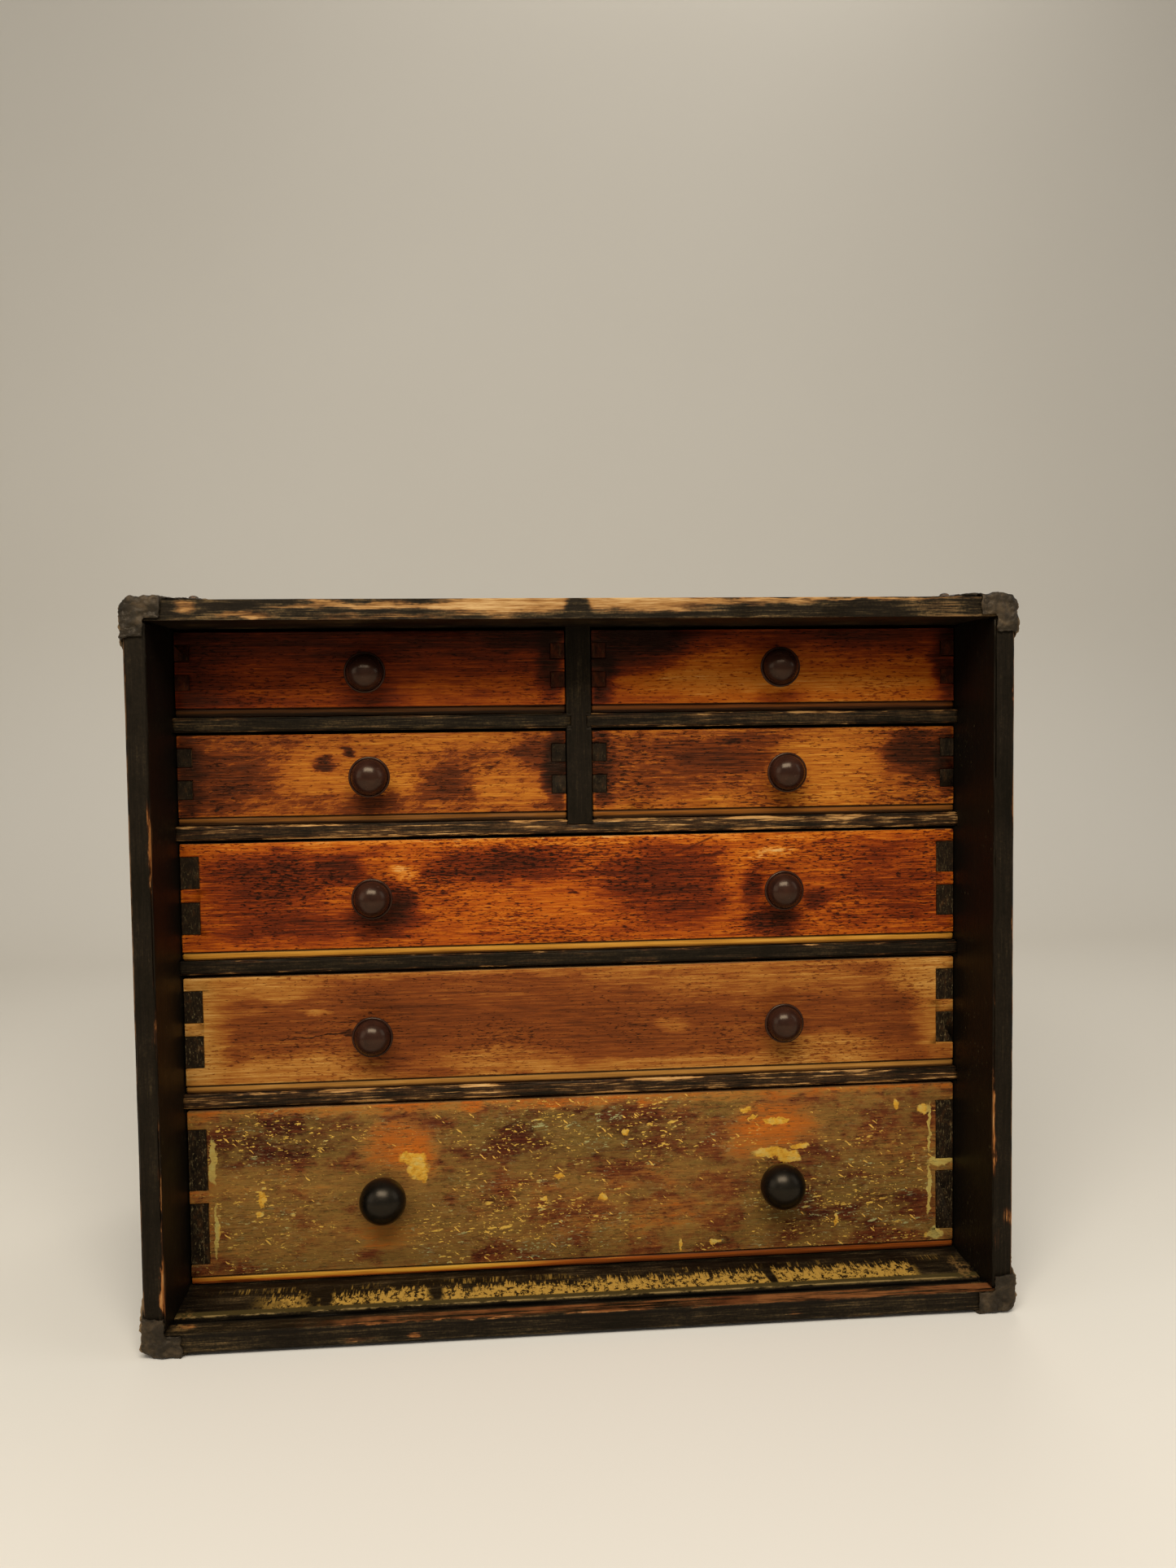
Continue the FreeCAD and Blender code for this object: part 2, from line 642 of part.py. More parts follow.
def drawer(name, row, opening, side_thick, half_pins, knob_sides, knob_kind):
    """One drawer in its opening: front, back, two sides, bottom board and its knobs."""
    x = (f"({opening[0]} + gap_side)", f"({opening[1]} - gap_side)")
    y = (drawer_face, f"({panel_face} - gap_behind)")
    base = f"({row_floor[row]} + gap_under)"
    z = (f"({base} + floor_thick)", f"({row_roof[row]} - gap_top)")
    front_y = (y[0], f"({y[0]} + front_thick)")
    rear_y = (f"({y[1]} - rear_thick)", y[1])
    tag = f"drawer_{name}"
    keep(f"{tag}_floor", block(f"{tag}_floor", x, y, (base, z[0])))
    fore, aft = [], []
    for side, span in (
        ("left", (x[0], f"({x[0]} + {side_thick})")),
        ("right", (f"({x[1]} - {side_thick})", x[1])),
    ):
        near = drawer_tails(f"{tag}_{side}_fore_tail", span, front_y, z, half_pins, 0)
        far = drawer_tails(f"{tag}_{side}_aft_tail", span, rear_y, z, half_pins, 1)
        core = block(f"{tag}_{side}_core", span, (front_y[1], rear_y[0]), z)
        keep(f"{tag}_side_{side}", joined(f"{tag}_side_{side}", [core, *near, *far]))
        fore += near
        aft += far
    places = []
    for side in knob_sides:
        edges = opening_of[side]
        across = f"((({edges[0]}) + ({edges[1]})) / 2 + across_{row}_{side})"
        places.append((across, f"(({base} + {z[1]}) / 2 + lift_{row}_{side})"))
    holes = [rod(f"{tag}_hole_{i}", place, *front_y, "spigot_dia") for i, place in enumerate(places, 1)]
    panel = block(f"{tag}_panel", x, front_y, z)
    keep(f"{tag}_front", less(f"{tag}_front", panel, gathered(f"{tag}_fore", fore + holes)))
    board = block(f"{tag}_board", x, rear_y, z)
    keep(f"{tag}_back", less(f"{tag}_back", board, gathered(f"{tag}_aft", aft)))
    knobs = [
        bind(knob_kind(f"{tag}_knob_{i}"), x=across, y=y[0], z=up)
        for i, (across, up) in enumerate(places, 1)
    ]
    if len(knobs) == 1:
        keep(f"{tag}_knob", knobs[0])
    else:
        keep(f"{tag}_knobs", gathered(f"{tag}_knobs", knobs))


for row in DRAWERS:
    drawer(*row)

# ----------------------------------------------------------------------------------------------- leather caps
lobe = [
    ("-cap_thick", "-cap_thick"),
    ("cap_arm", "-cap_thick"),
    ("cap_arm", "0"),
    ("cap_reach", "cap_reach - cap_arm"),
    ("cap_reach", "cap_reach - cap_lobe_round"),
    ("cap_reach - cap_lobe_round", "cap_reach", "cap_lobe_round", 1),
    ("cap_reach - cap_arm", "cap_reach"),
    ("0", "cap_arm"),
    ("-cap_thick", "cap_arm"),
]
edge_strip = [
    ("-cap_thick", "-cap_thick"),
    ("cap_arm", "-cap_thick"),
    ("cap_arm", "deck_thick - cap_margin"),
    ("side_thick - cap_margin", "deck_thick - cap_margin"),
    ("side_thick - cap_margin", "cap_arm"),
    ("-cap_thick", "cap_arm"),
]
# The master is the cap of the lower left corner at the front.
wrap = "(cap_thick + corner_round + cap_edge_round)"
under_lobe = padded("under_lobe", "XY_Plane", lobe, wrap)
bind(under_lobe, x=f"-{half_width}", y=front, z=f"{floor_low} - cap_thick")
side_lobe = padded("side_lobe", "YZ_Plane", lobe, wrap)
bind(side_lobe, x=f"-{half_width} - cap_thick", y=front, z=floor_low)
front_strip = padded("front_strip", "XZ_Plane", edge_strip, "cap_thick")
bind(front_strip, x=f"-{half_width}", y=f"{front} - cap_thick", z=floor_low)
cap_block = envelope("cap_block", "cap_thick", "corner_round + cap_thick")
rounded(cap_block, lambda edge: not runs_along(edge, "y"), "cap_edge_round")
hide = joined("hide", [under_lobe, side_lobe, front_strip])
lower_left = less("lower_left", within("hide_outside", hide, cap_block), carcase_block)
lower_right = mirrored("lower_right", lower_left, "x", "0 * cap_thick")
upper_left = mirrored("upper_left", lower_left, "z", middle_z)
upper_right = mirrored("upper_right", upper_left, "x", "0 * cap_thick")
front_caps = [
    keep(f"cap_front_{blank.Name}", less(f"cap_front_{blank.Name}", blank, front_set))
    for blank in (lower_left, lower_right, upper_left, upper_right)
]
keep(
    "caps_rear",
    gathered("caps_rear", [mirrored(f"rear_of_{c.Name}", c, "y", "0 * cap_thick") for c in front_caps]),
)

# ----------------------------------------------------------------------------------------------------- output
doc.recompute()
for thing in doc.Objects:
    if {"Invalid", "Error"} & set(thing.State):
        raise RuntimeError(f"{thing.Name} failed to compute")
for node, thing in nodes.items():
    if thing.Shape.isNull() or not thing.Shape.isValid() or not thing.Shape.Solids:
        raise RuntimeError(f"{node} has no valid solid")

os.makedirs("parts", exist_ok=True)
for node, thing in nodes.items():
    thing.Shape.exportStep(f"parts/{node}.step")
print(f"{len(nodes)} nodes written")
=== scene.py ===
"""A table-top chest of drawers: worn black paint, rubbed pine drawers, turned knobs and leather corners.

Every size is in millimetres until it becomes a coordinate, and so are the places that the shaders read.
"""

from math import copysign, cos, radians, sin, tau

import bmesh
import bpy
from mathutils import Matrix, Vector, noise


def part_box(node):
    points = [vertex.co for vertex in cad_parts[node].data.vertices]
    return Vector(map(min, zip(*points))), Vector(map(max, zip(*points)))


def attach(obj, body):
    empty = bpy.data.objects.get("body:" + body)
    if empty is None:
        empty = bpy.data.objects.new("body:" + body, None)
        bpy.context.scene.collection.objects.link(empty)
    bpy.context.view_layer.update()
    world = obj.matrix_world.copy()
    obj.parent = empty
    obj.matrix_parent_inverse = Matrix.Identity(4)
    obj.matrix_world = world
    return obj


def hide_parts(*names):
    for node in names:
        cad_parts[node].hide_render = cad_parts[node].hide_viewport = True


MM = 0.001
WELD = 2e-6
WARM_SHEEN = (1, 0.8, 0.56, 1)

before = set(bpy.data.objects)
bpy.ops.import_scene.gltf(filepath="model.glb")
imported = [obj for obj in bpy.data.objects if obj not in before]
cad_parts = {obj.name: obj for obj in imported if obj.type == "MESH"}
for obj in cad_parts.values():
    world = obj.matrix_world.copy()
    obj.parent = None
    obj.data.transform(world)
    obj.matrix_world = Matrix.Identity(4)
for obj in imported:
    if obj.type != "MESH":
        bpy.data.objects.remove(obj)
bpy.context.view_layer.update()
scene = bpy.context.scene


def add_object(name, data):
    made = bpy.data.objects.new(name, data)
    scene.collection.objects.link(made)
    return made


# ---- camera
def aim_camera():
    """The camera stands a little left of the middle, at the height of the upper drawers."""
    down, across, roll = 0.0496, -0.0867, -0.0125
    level = Matrix(((1, 0, 0), (0, 0, -1), (0, 1, 0)))
    turn = Matrix.Rotation(roll, 3, "Z") @ Matrix.Rotation(down, 3, "X")
    view = turn @ Matrix.Rotation(across, 3, "Y") @ level
    right, up, back = view[0], -view[1], -view[2]
    camera = add_object("camera", bpy.data.cameras.new("camera"))
    camera.matrix_world = Matrix((right, up, back)).transposed().to_4x4()
    camera.location = (-0.0499, -0.7212, 0.3021)
    camera.data.lens = 28.39
    camera.data.clip_start = 0.02
    scene.camera = camera


# ---- shader arithmetic
def hue(red, green, blue):
    """A colour in everyday 0-255 steps, as the shader wants it."""
    steps = [c / 255 for c in (red, green, blue)]
    return tuple(c / 12.92 if c <= 0.04045 else ((c + 0.055) / 1.055) ** 2.4 for c in steps) + (1,)


class Wire:
    """A node's output.  Arithmetic on it adds Math nodes."""

    def __init__(self, finish, socket):
        self.finish, self.socket = finish, socket

    def _math(self, operation, first, second):
        return self.finish.node("Math", {"operation": operation}, {0: first, 1: second})

    def __add__(self, other):
        return self._math("ADD", self, other)

    def __sub__(self, other):
        return self._math("SUBTRACT", self, other)

    def __rsub__(self, other):
        return self._math("SUBTRACT", other, self)

    def __mul__(self, other):
        return self._math("MULTIPLY", self, other)

    def least(self, other):
        return self._math("MINIMUM", self, other)

    def most(self, other):
        return self._math("MAXIMUM", self, other)

    def size(self):
        return self._math("ABSOLUTE", self, 0)

    __radd__ = __add__


class Finish:
    """One material's nodes.  x, y and z are the object coordinates in millimetres."""

    def __init__(self, name):
        self.material = bpy.data.materials.new(name)
        self.material.use_nodes = True
        self.tree = self.material.node_tree
        self.tree.nodes.clear()
        self.place = self.node("TexCoord", output="Object")
        split = self.node("SeparateXYZ", inputs={0: self.place}).socket.node
        self.x, self.y, self.z = (Wire(self, socket) * 1000 for socket in split.outputs)
        self.warped = {}

    def node(self, kind, settings=None, inputs=None, output=0):
        """Any node: its settings first, then the values or wires of its sockets."""
        made = self.tree.nodes.new("ShaderNode" + kind)
        for key, value in (settings or {}).items():
            if key != "stops":
                setattr(made, key, value)
                continue
            stops = made.color_ramp.elements
            while len(stops) < len(value):
                stops.new(1)
            for stop, (position, colour) in zip(stops, value):
                stop.position, stop.color = position, colour
        for key, value in (inputs or {}).items():
            if isinstance(value, Wire):
                self.tree.links.new(value.socket, made.inputs[key])
            else:
                made.inputs[key].default_value = value
        return Wire(self, made.outputs[output])

    def vector(self, operation, inputs, output=0):
        return self.node("VectorMath", {"operation": operation}, inputs, output)

    def noise(self, size, detail, rough, seed, bend=0, lean=0):
        """Noise around 0.5 with features of that size along x, y and z, leaning in x and z."""
        scale = tuple(1 / (MM * s) for s in size)
        start = self.place
        if lean:
            start = self.node("Mapping", inputs={0: start, 2: (0, radians(lean), 0)})
        at = self.node("Mapping", inputs={0: start, 1: (seed, 2.3 * seed, -seed), 3: scale})
        sockets = {"Vector": at, "Scale": 1, "Detail": detail, "Roughness": rough, "Distortion": bend}
        return self.node("TexNoise", inputs=sockets)

    def blots(self, size, detail, rough, seed, low, high, bend=0):
        """Noise cut to 0 below low and 1 above high."""
        return self.step(self.noise(size, detail, rough, seed, bend), low, high)

    def step(self, value, low, high):
        """0 below low, 1 above high and smooth between; falling where low is above high."""
        if low > high:
            return 1 - self.step(value, high, low)
        sockets = {"Value": value, "From Min": low, "From Max": high}
        return self.node("MapRange", {"interpolation_type": "SMOOTHSTEP"}, sockets)

    def ramp(self, value, *stops):
        """A colour for each value; the stops are (position, (red, green, blue))."""
        coloured = [(position, hue(*colour)) for position, colour in stops]
        return self.node("ValToRGB", {"stops": coloured}, {0: value})

    def mix(self, mask, below, above):
        """The colour below, with the colour above laid over it where the mask is 1."""
        below, above = (c if isinstance(c, Wire) else hue(*c) for c in (below, above))
        return self.node("Mix", {"data_type": "RGBA"}, {0: mask, 6: below, 7: above}, 2)

    def ragged(self, spread, size):
        """Object coordinates that wander by about spread millimetres over that size."""
        key = (spread, size)
        if key not in self.warped:
            scatter = self.noise(size, 3, 0.6, 7.7).socket.node.outputs[1]
            centred = self.vector("ADD", {0: Wire(self, scatter), 1: (-0.5,) * 3})
            scaled = {0: centred, 1: (spread * 4 * MM,) * 3, 2: self.place}
            self.warped[key] = self.vector("MULTIPLY_ADD", scaled)
        return self.warped[key]

    def patch(self, centre, size, soft, spread=3, grain=(14, 14, 5)):
        """1 inside a ragged ellipse; None leaves an axis out of it."""
        scale = tuple(0 if c is None else 1 / (MM * s) for c, s in zip(centre, size))
        offset = tuple(0 if c is None else -c / s for c, s in zip(centre, size))
        local = self.vector("MULTIPLY_ADD", {0: self.ragged(spread, grain), 1: scale, 2: offset})
        far = self.vector("LENGTH", {0: local}, 1)
        return self.step(far, 1 + soft, 1 - soft)

    def spot(self, x, z, wide, tall, soft=0.6, *rest):
        """A patch of the drawers' fronts, the same at every depth."""
        return self.patch((x, None, z), (wide, 1, tall), soft, *rest)

    def chips(self, size, turn, share, seed, fullness):
        """Scattered flakes, long in x and turned by that angle; share is how many cells have one."""
        scale = (1 / (MM * size[0]), 1 / (MM * size[1]), 1 / (MM * size[1]))
        wander = self.ragged(0.5, (3, 3, 3))
        tilt = {0: wander, 1: (seed,) * 3, 2: (0, radians(turn), 0)}
        turned = self.node("Mapping", inputs=tilt)
        at = self.vector("MULTIPLY", {0: turned, 1: scale})
        cell = self.node("TexVoronoi", inputs={"Vector": at, "Scale": 1})
        colour = Wire(self, cell.socket.node.outputs["Color"])
        pick = Wire(self, self.node("SeparateColor", inputs={0: colour}).socket)
        size_of = self.step(pick, 1 - share, 1) * fullness
        return self.step(cell - size_of, 0.04, -0.04) * self.step(pick, 1 - share, 1 - share + 0.02)

    def line(self, x, z, long, angle):
        """1 on a fine line of that length through (x, z), 0 away from it."""
        across, up = cos(radians(angle)), sin(radians(angle))
        run = (self.x - x) * across + (self.z - z) * up
        off = (self.z - z) * across - (self.x - x) * up
        near = self.step(off.size(), 0.75, 0.25)
        return near * self.step(run.size(), long / 2, long / 2 - 4)

    def arris(self, low, high):
        """Distance from the nearest arris of that box, for a point on its surface."""
        gaps = [(here - a).least(b - here) for here, a, b in zip((self.x, self.y, self.z), low, high)]
        total = gaps[0] + gaps[1] + gaps[2]
        return total - gaps[0].least(gaps[1].least(gaps[2])) - gaps[0].most(gaps[1].most(gaps[2]))

    def done(self, colour, rough, height=None, depth=0, relief=1, gloss=0.4):
        """Ends the material; height is in steps of depth millimetres."""
        sockets = {"Base Color": colour, "Roughness": rough}
        sockets.update({"Specular IOR Level": gloss, "Specular Tint": WARM_SHEEN})
        if height is not None:
            raised = {"Height": height, "Distance": depth * MM, "Strength": relief}
            sockets["Normal"] = self.node("Bump", inputs=raised)
        shader = self.node("BsdfPrincipled", inputs=sockets)
        output = self.tree.nodes.new("ShaderNodeOutputMaterial")
        self.tree.links.new(shader.socket, output.inputs["Surface"])
        return self.material


# ---- mesh making
def show(name, mesh, body, material, replaced):
    """A finished mesh as a piece of that body."""
    mesh.materials.clear()
    mesh.materials.append(material)
    piece = add_object(name, mesh)
    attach(piece, body)
    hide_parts(*replaced)


def make_flats_whole(shape):
    edges = {"verts": shape.verts, "edges": shape.edges, "delimit": {"NORMAL"}}
    bmesh.ops.dissolve_limit(shape, angle_limit=radians(0.5), **edges)


def node_mesh(node):
    """The CAD node's shape with its loose triangles joined and its flat faces made whole."""
    shape = bmesh.new()
    shape.from_mesh(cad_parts[node].data)
    bmesh.ops.remove_doubles(shape, verts=shape.verts, dist=WELD)
    make_flats_whole(shape)
    return shape


def soften(shape, radius):
    """Rounds every sharp arris."""
    sharp = [e for e in shape.edges if len(e.link_faces) == 2 and e.calc_face_angle(0) > 0.5]
    rounding = {"segments": 2, "profile": 0.5, "affect": "EDGES", "clamp_overlap": True}
    bmesh.ops.bevel(shape, geom=sharp, offset=radius * MM, **rounding)


def slice_along(shape, axis, places):
    """Cuts the shape's faces across that axis at those places."""
    normal = Vector([float(a == axis) for a in "xyz"])
    for place in places:
        everything = shape.verts[:] + shape.edges[:] + shape.faces[:]
        plane = {"plane_co": normal * place * MM, "plane_no": normal}
        bmesh.ops.bisect_plane(shape, geom=everything, dist=1e-6, **plane)


def spaced(low, high, pace):
    count = max(1, round((high - low) / pace))
    return [low + (high - low) * i / count for i in range(1, count)]


def wear_down(shape, deep, length, seed, sway=0):
    """Hand wear: arrises lose up to deep millimetres in stretches of that length, and faces sway."""
    shape.normal_update()
    for v in shape.verts:
        bluntness = 1 - max(abs(c) for c in v.normal)
        at = Vector(v.co) / (MM * length) + Vector((seed, seed, seed))
        rubbed = max(0, 0.5 + 1.1 * noise.fractal(at, 0.8, 2.1, 3))
        swing = noise.noise(at * 0.35 + Vector((3, 1, 2)))
        v.co -= v.normal * MM * (deep * rubbed * min(1, bluntness * 3.4) + sway * (0.5 + 0.5 * swing))


def as_mesh(shape, name, smooth=24):
    mesh = bpy.data.meshes.new(name)
    bmesh.ops.recalc_face_normals(shape, faces=shape.faces)
    shape.to_mesh(mesh)
    shape.free()
    mesh.polygons.foreach_set("use_smooth", [True] * len(mesh.polygons))
    mesh.set_sharp_from_angle(angle=radians(smooth))
    mesh.update()
    return mesh


# ---- shared measures
def span(node):
    """A node's lowest and highest corners, in millimetres."""
    return tuple(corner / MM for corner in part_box(node))


FACE = span("drawer_third_front")[0].y
CHEST_MIDDLE = 182.75
NAIL_HEAD = 1.5
PIN_HEAD = 0.6
SPIGOT_ROOM = 4.1
SPIGOT_END = 12


# ---- finishes
def raw_pine(f, seed, along=(60, 40, 1.8), tint=0):
    """Bare pine gone brown inside the chest: (colour, height)."""
    grain = f.noise(along, 5, 0.62, seed, 0.4)
    stain = f.noise((45, 45, 45), 4, 0.6, seed + 5)
    shade = grain * 0.7 + stain * 0.55 + (tint - 0.12)
    colour = f.ramp(shade, (0.25, (58, 38, 22)), (0.5, (112, 78, 46)), (0.75, (160, 118, 72)))
    return colour, grain


def rubbed_front(
    name, node, tones, level, seed, spots, film=0.15, clouds=0.5, rim_gain=0.16, mottle=(30, 14, 2.4),
    edge=0.08, lean=0, fibre=0.5, dash=0.22, dash_from=0.59, scratch=None, flakes=None
):
    """A drawer front: a dark film of old stain, in ragged islands, over pine of its own colour.

    A spot whose gain is below 0 darkens the front with a thicker film, and those along the top of the two
    top drawers and at the outer ends of the two upper rows are painted shade; above 0 it is rubbed away."""
    f = Finish(name)
    low, high = span(node)
    streaks = f.noise((70, 40, 1.2), 7, 0.72, seed, 0.5)
    fibres = f.noise((11, 9, 0.5), 4, 0.68, seed + 4)
    cloud = f.noise((36, 30, 11), 7, 0.66, seed + 9)
    islands = f.noise(mottle, 9, 0.76, seed + 20, 0.35, lean)
    dashes = f.noise((3.8, 5, 0.8), 4, 0.6, seed + 2)
    where = f.noise((50, 50, 22), 2, 0.5, seed + 31)
    big = level + (cloud - 0.5) * clouds
    # the dark spots include painted shade from the top board and the recess walls
    for x, z, wide, tall, gain in spots:
        big = big + f.spot(x, z, wide, tall) * gain
    rim = f.arris(low, high)
    rim_noise = f.noise((22, 22, 22), 4, 0.65, seed + 1)
    big = big + f.step(rim, 2.2, 0.3) * (rim_noise + 0.1) * rim_gain
    # thick also carries the painted-shade spots as a darker film
    thick = f.step(islands + (0.5 - big) * 0.9, 0.52 - edge, 0.52 + edge)
    marks = f.step(dashes + (where - 0.5) * 0.3, dash_from, dash_from + 0.06)
    warmth = big * 0.72 + 0.17 + (streaks - 0.5) * 0.75 + (fibres - 0.5) * fibre
    warmth = warmth - thick * film - marks * dash
    colour = f.ramp(warmth, *tones)
    if scratch:
        colour = f.mix(f.line(*scratch) * 0.75, colour, tones[1][1])
    if flakes:
        colour = flakes(f, colour, seed)
    seam = f.step(f.z, low.z + 0.8, low.z + 0.15)
    colour = f.mix(seam * 0.9, colour, (20, 10, 6))
    bare, bare_grain = raw_pine(f, seed)
    outside = f.step(f.y, FACE + 1.6, FACE + 0.7)
    colour = f.mix(outside, bare, colour)
    rough = (1 - outside) * 0.25 + (0.46 + (cloud - 0.5) * 0.3 + marks * 0.15 - thick * 0.08)
    height = streaks * 0.6 + fibres * 0.6 - marks * 0.6 + thick * 0.15 + bare_grain * 0.1
    return f.done(colour, rough, height, 0.35, 0.8, gloss=0.1)


SOOTY = [(0.34, (12, 8, 5)), (0.55, (30, 21, 12)), (0.72, (62, 38, 18)), (0.95, (112, 62, 22))]
RUDDY = [(0.3, (20, 8, 4)), (0.5, (46, 18, 8)), (0.7, (74, 31, 10)), (0.95, (104, 46, 12))]


def end_grain_side(name, seed, weathered=0, brown=0, tones=SOOTY):
    """A drawer side: sooty end grain where its tails come through the front, bare pine elsewhere."""
    f = Finish(name)
    soot = f.noise((3.2, 4, 5), 6, 0.68, seed)
    fleck = f.blots((1, 3, 1.7), 4, 0.65, seed + 3, 0.6, 0.67)
    scrape = f.blots((0.8, 5, 4.5), 4, 0.7, seed + 6, 0.56, 0.68, 0.8)
    ends = f.ramp(soot + brown, *tones)
    ends = f.mix((fleck * 0.5 + scrape * 0.4) * (0.15 + weathered), ends, (160, 138, 92))
    bare, grain = raw_pine(f, seed, (40, 60, 1.8))
    outside = f.step(f.y, FACE + 1.3, FACE + 0.6)
    colour = f.mix(outside, bare, ends)
    return f.done(colour, 0.75 - outside * 0.1, grain + fleck * 0.4, 0.3, 0.7, gloss=0.08)


def floor_edge(name, node, seed, tones, level, spots=()):
    """A drawer's bottom board: its front edge is a rubbed strip under a dirty seam."""
    f = Finish(name)
    low, high = span(node)
    run = f.noise((45, 20, 0.8), 6, 0.7, seed)
    warmth = level + (run - 0.5) * 1.1 - f.step(f.z, low.z + 2.2, low.z + 0.5) * 0.4
    for x, wide, gain in spots:
        warmth = warmth + f.patch((x, None, None), (wide, 1, 1), 0.5, 4) * gain
    strip = f.ramp(warmth, *tones)
    seam = f.step(f.z, high.z - 0.9, high.z - 0.2)
    strip = f.mix(seam * 0.95, strip, (18, 9, 5))
    bare, grain = raw_pine(f, seed, (60, 40, 6), 0.05)
    outside = f.step(f.y, FACE + 1.4, FACE + 0.7)
    return f.done(f.mix(outside, bare, strip), 0.7 - outside * 0.15, grain + run * 0.5, 0.3, 0.6, gloss=0.1)


BLACKS = [
    (0.2, (8, 6, 3)), (0.42, (19, 14, 8)), (0.56, (34, 27, 16)), (0.7, (60, 47, 28)), (0.9, (104, 82, 50)),
]
FRAME_WOOD = [(0.25, (60, 28, 12)), (0.45, (108, 56, 23)), (0.6, (146, 92, 44)), (0.8, (190, 146, 92))]
TOP_WOOD = [(0.25, (66, 38, 18)), (0.45, (108, 68, 32)), (0.6, (146, 104, 56)), (0.8, (188, 152, 100))]
RAIL_WOOD = [(0.25, (66, 40, 16)), (0.45, (124, 80, 36)), (0.62, (174, 128, 72)), (0.8, (208, 168, 110))]


def worn_paint(
    name, node, seed, along, level, rub, spots=(), thin=0, wood=RAIL_WOOD, streak=1, dark=0, soft=0,
    extra=None
):
    """Black paint over pine, thin in streaks and rubbed through to the wood on the arrises."""
    f = Finish(name)
    low, high = span(node)
    long_size = {"x": (52, 4.5, 1.5), "z": (2, 4.5, 52)}[along]
    short_size = {"x": (11, 1.3, 0.6), "z": (0.6, 1.3, 11)}[along]
    grain = f.noise(long_size, 6, 0.68, seed, 0.4)
    nicks = f.noise(short_size, 4, 0.65, seed + 2, 0.3)
    cloud = f.noise((34, 34, 34), 5, 0.62, seed + 3)
    grit = f.noise((1.1, 1.1, 1.1), 3, 0.65, seed + 6)
    stretch = f.noise({"x": (30, 7, 7), "z": (7, 7, 30)}[along], 4, 0.65, seed + 8)
    near = f.step(f.arris(low, high), 2.4, 0)
    wear = level + (grain - 0.5) * 0.55 + (nicks - 0.5) * 0.3 + (cloud - 0.5) * 0.2
    wear = wear + near * f.step(stretch, 0.42, 0.62) * rub
    ragged = (12, 12, 4) if along == "x" else (4, 4, 14)
    for *place, gain in spots:
        wear = wear + f.patch(place[:3], place[3:], 0.6, 1.6, ragged) * gain
    shade = (cloud - 0.5) * 0.7 + (grit - 0.5) * 0.5 + (0.44 - dark)
    shade = shade + (grain - 0.5) * (1.1 * streak) + (nicks - 0.5) * (0.9 * streak)
    shade = shade + f.step(wear, 0.2, 0.48) * thin
    paint = f.ramp(shade, *BLACKS)
    bare = f.ramp(nicks * 0.5 + grain * 0.4 + wear * 0.5 - 0.15, *wood)
    halo = f.step(wear, 0.38 - soft, 0.5)
    through = f.step(wear, 0.47 - soft, 0.54 + soft)
    colour = f.mix(halo * 0.6, paint, (58, 30, 13))
    colour = f.mix(through * 0.88, colour, bare)
    rough = 0.5 + (cloud - 0.5) * 0.35 + through * 0.12
    height = grain * 0.55 + nicks * 0.3 + grit * 0.2 - through * 0.35
    if extra:
        colour, rough, height = extra(f, colour, rough, height, seed)
    return f.done(colour, rough, height, 0.3, 0.85, gloss=0.12)


# Larger daubs and dribbles of spilt paint: x, z, wide, tall.
BLOBS = [
    (-89, 74.5, 7.5, 3), (-86.5, 69, 6, 5), (-83.5, 64.5, 2.6, 3.6), (103, 69.5, 9.5, 2.6),
    (113, 66.5, 5.5, 3.4), (119, 72, 5, 1.6), (106, 87, 7, 1.5), (93, 89, 3, 1), (172, 93, 1.6, 3.4),
    (187, 90, 3.8, 2.6), (72, 22, 3, 1.8), (53, 21, 1.1, 3.6), (138, 31, 1, 3.6), (89, 93, 3.2, 1.4),
    (190.5, 45, 1.2, 14), (191, 79, 0.9, 14), (197, 60.3, 7.5, 2.4), (194, 20.5, 5.4, 3.2),
    (-191.4, 77, 1.9, 12), (-190.6, 40, 1.2, 14), (-167, 56, 1.8, 4.2), (-169, 48, 2.6, 1.8),
    (-20, 50, 1.6, 1.3), (12, 49, 3, 2), (-12, 61, 2.6, 1.4), (24, 84, 1.6, 1.8),
]


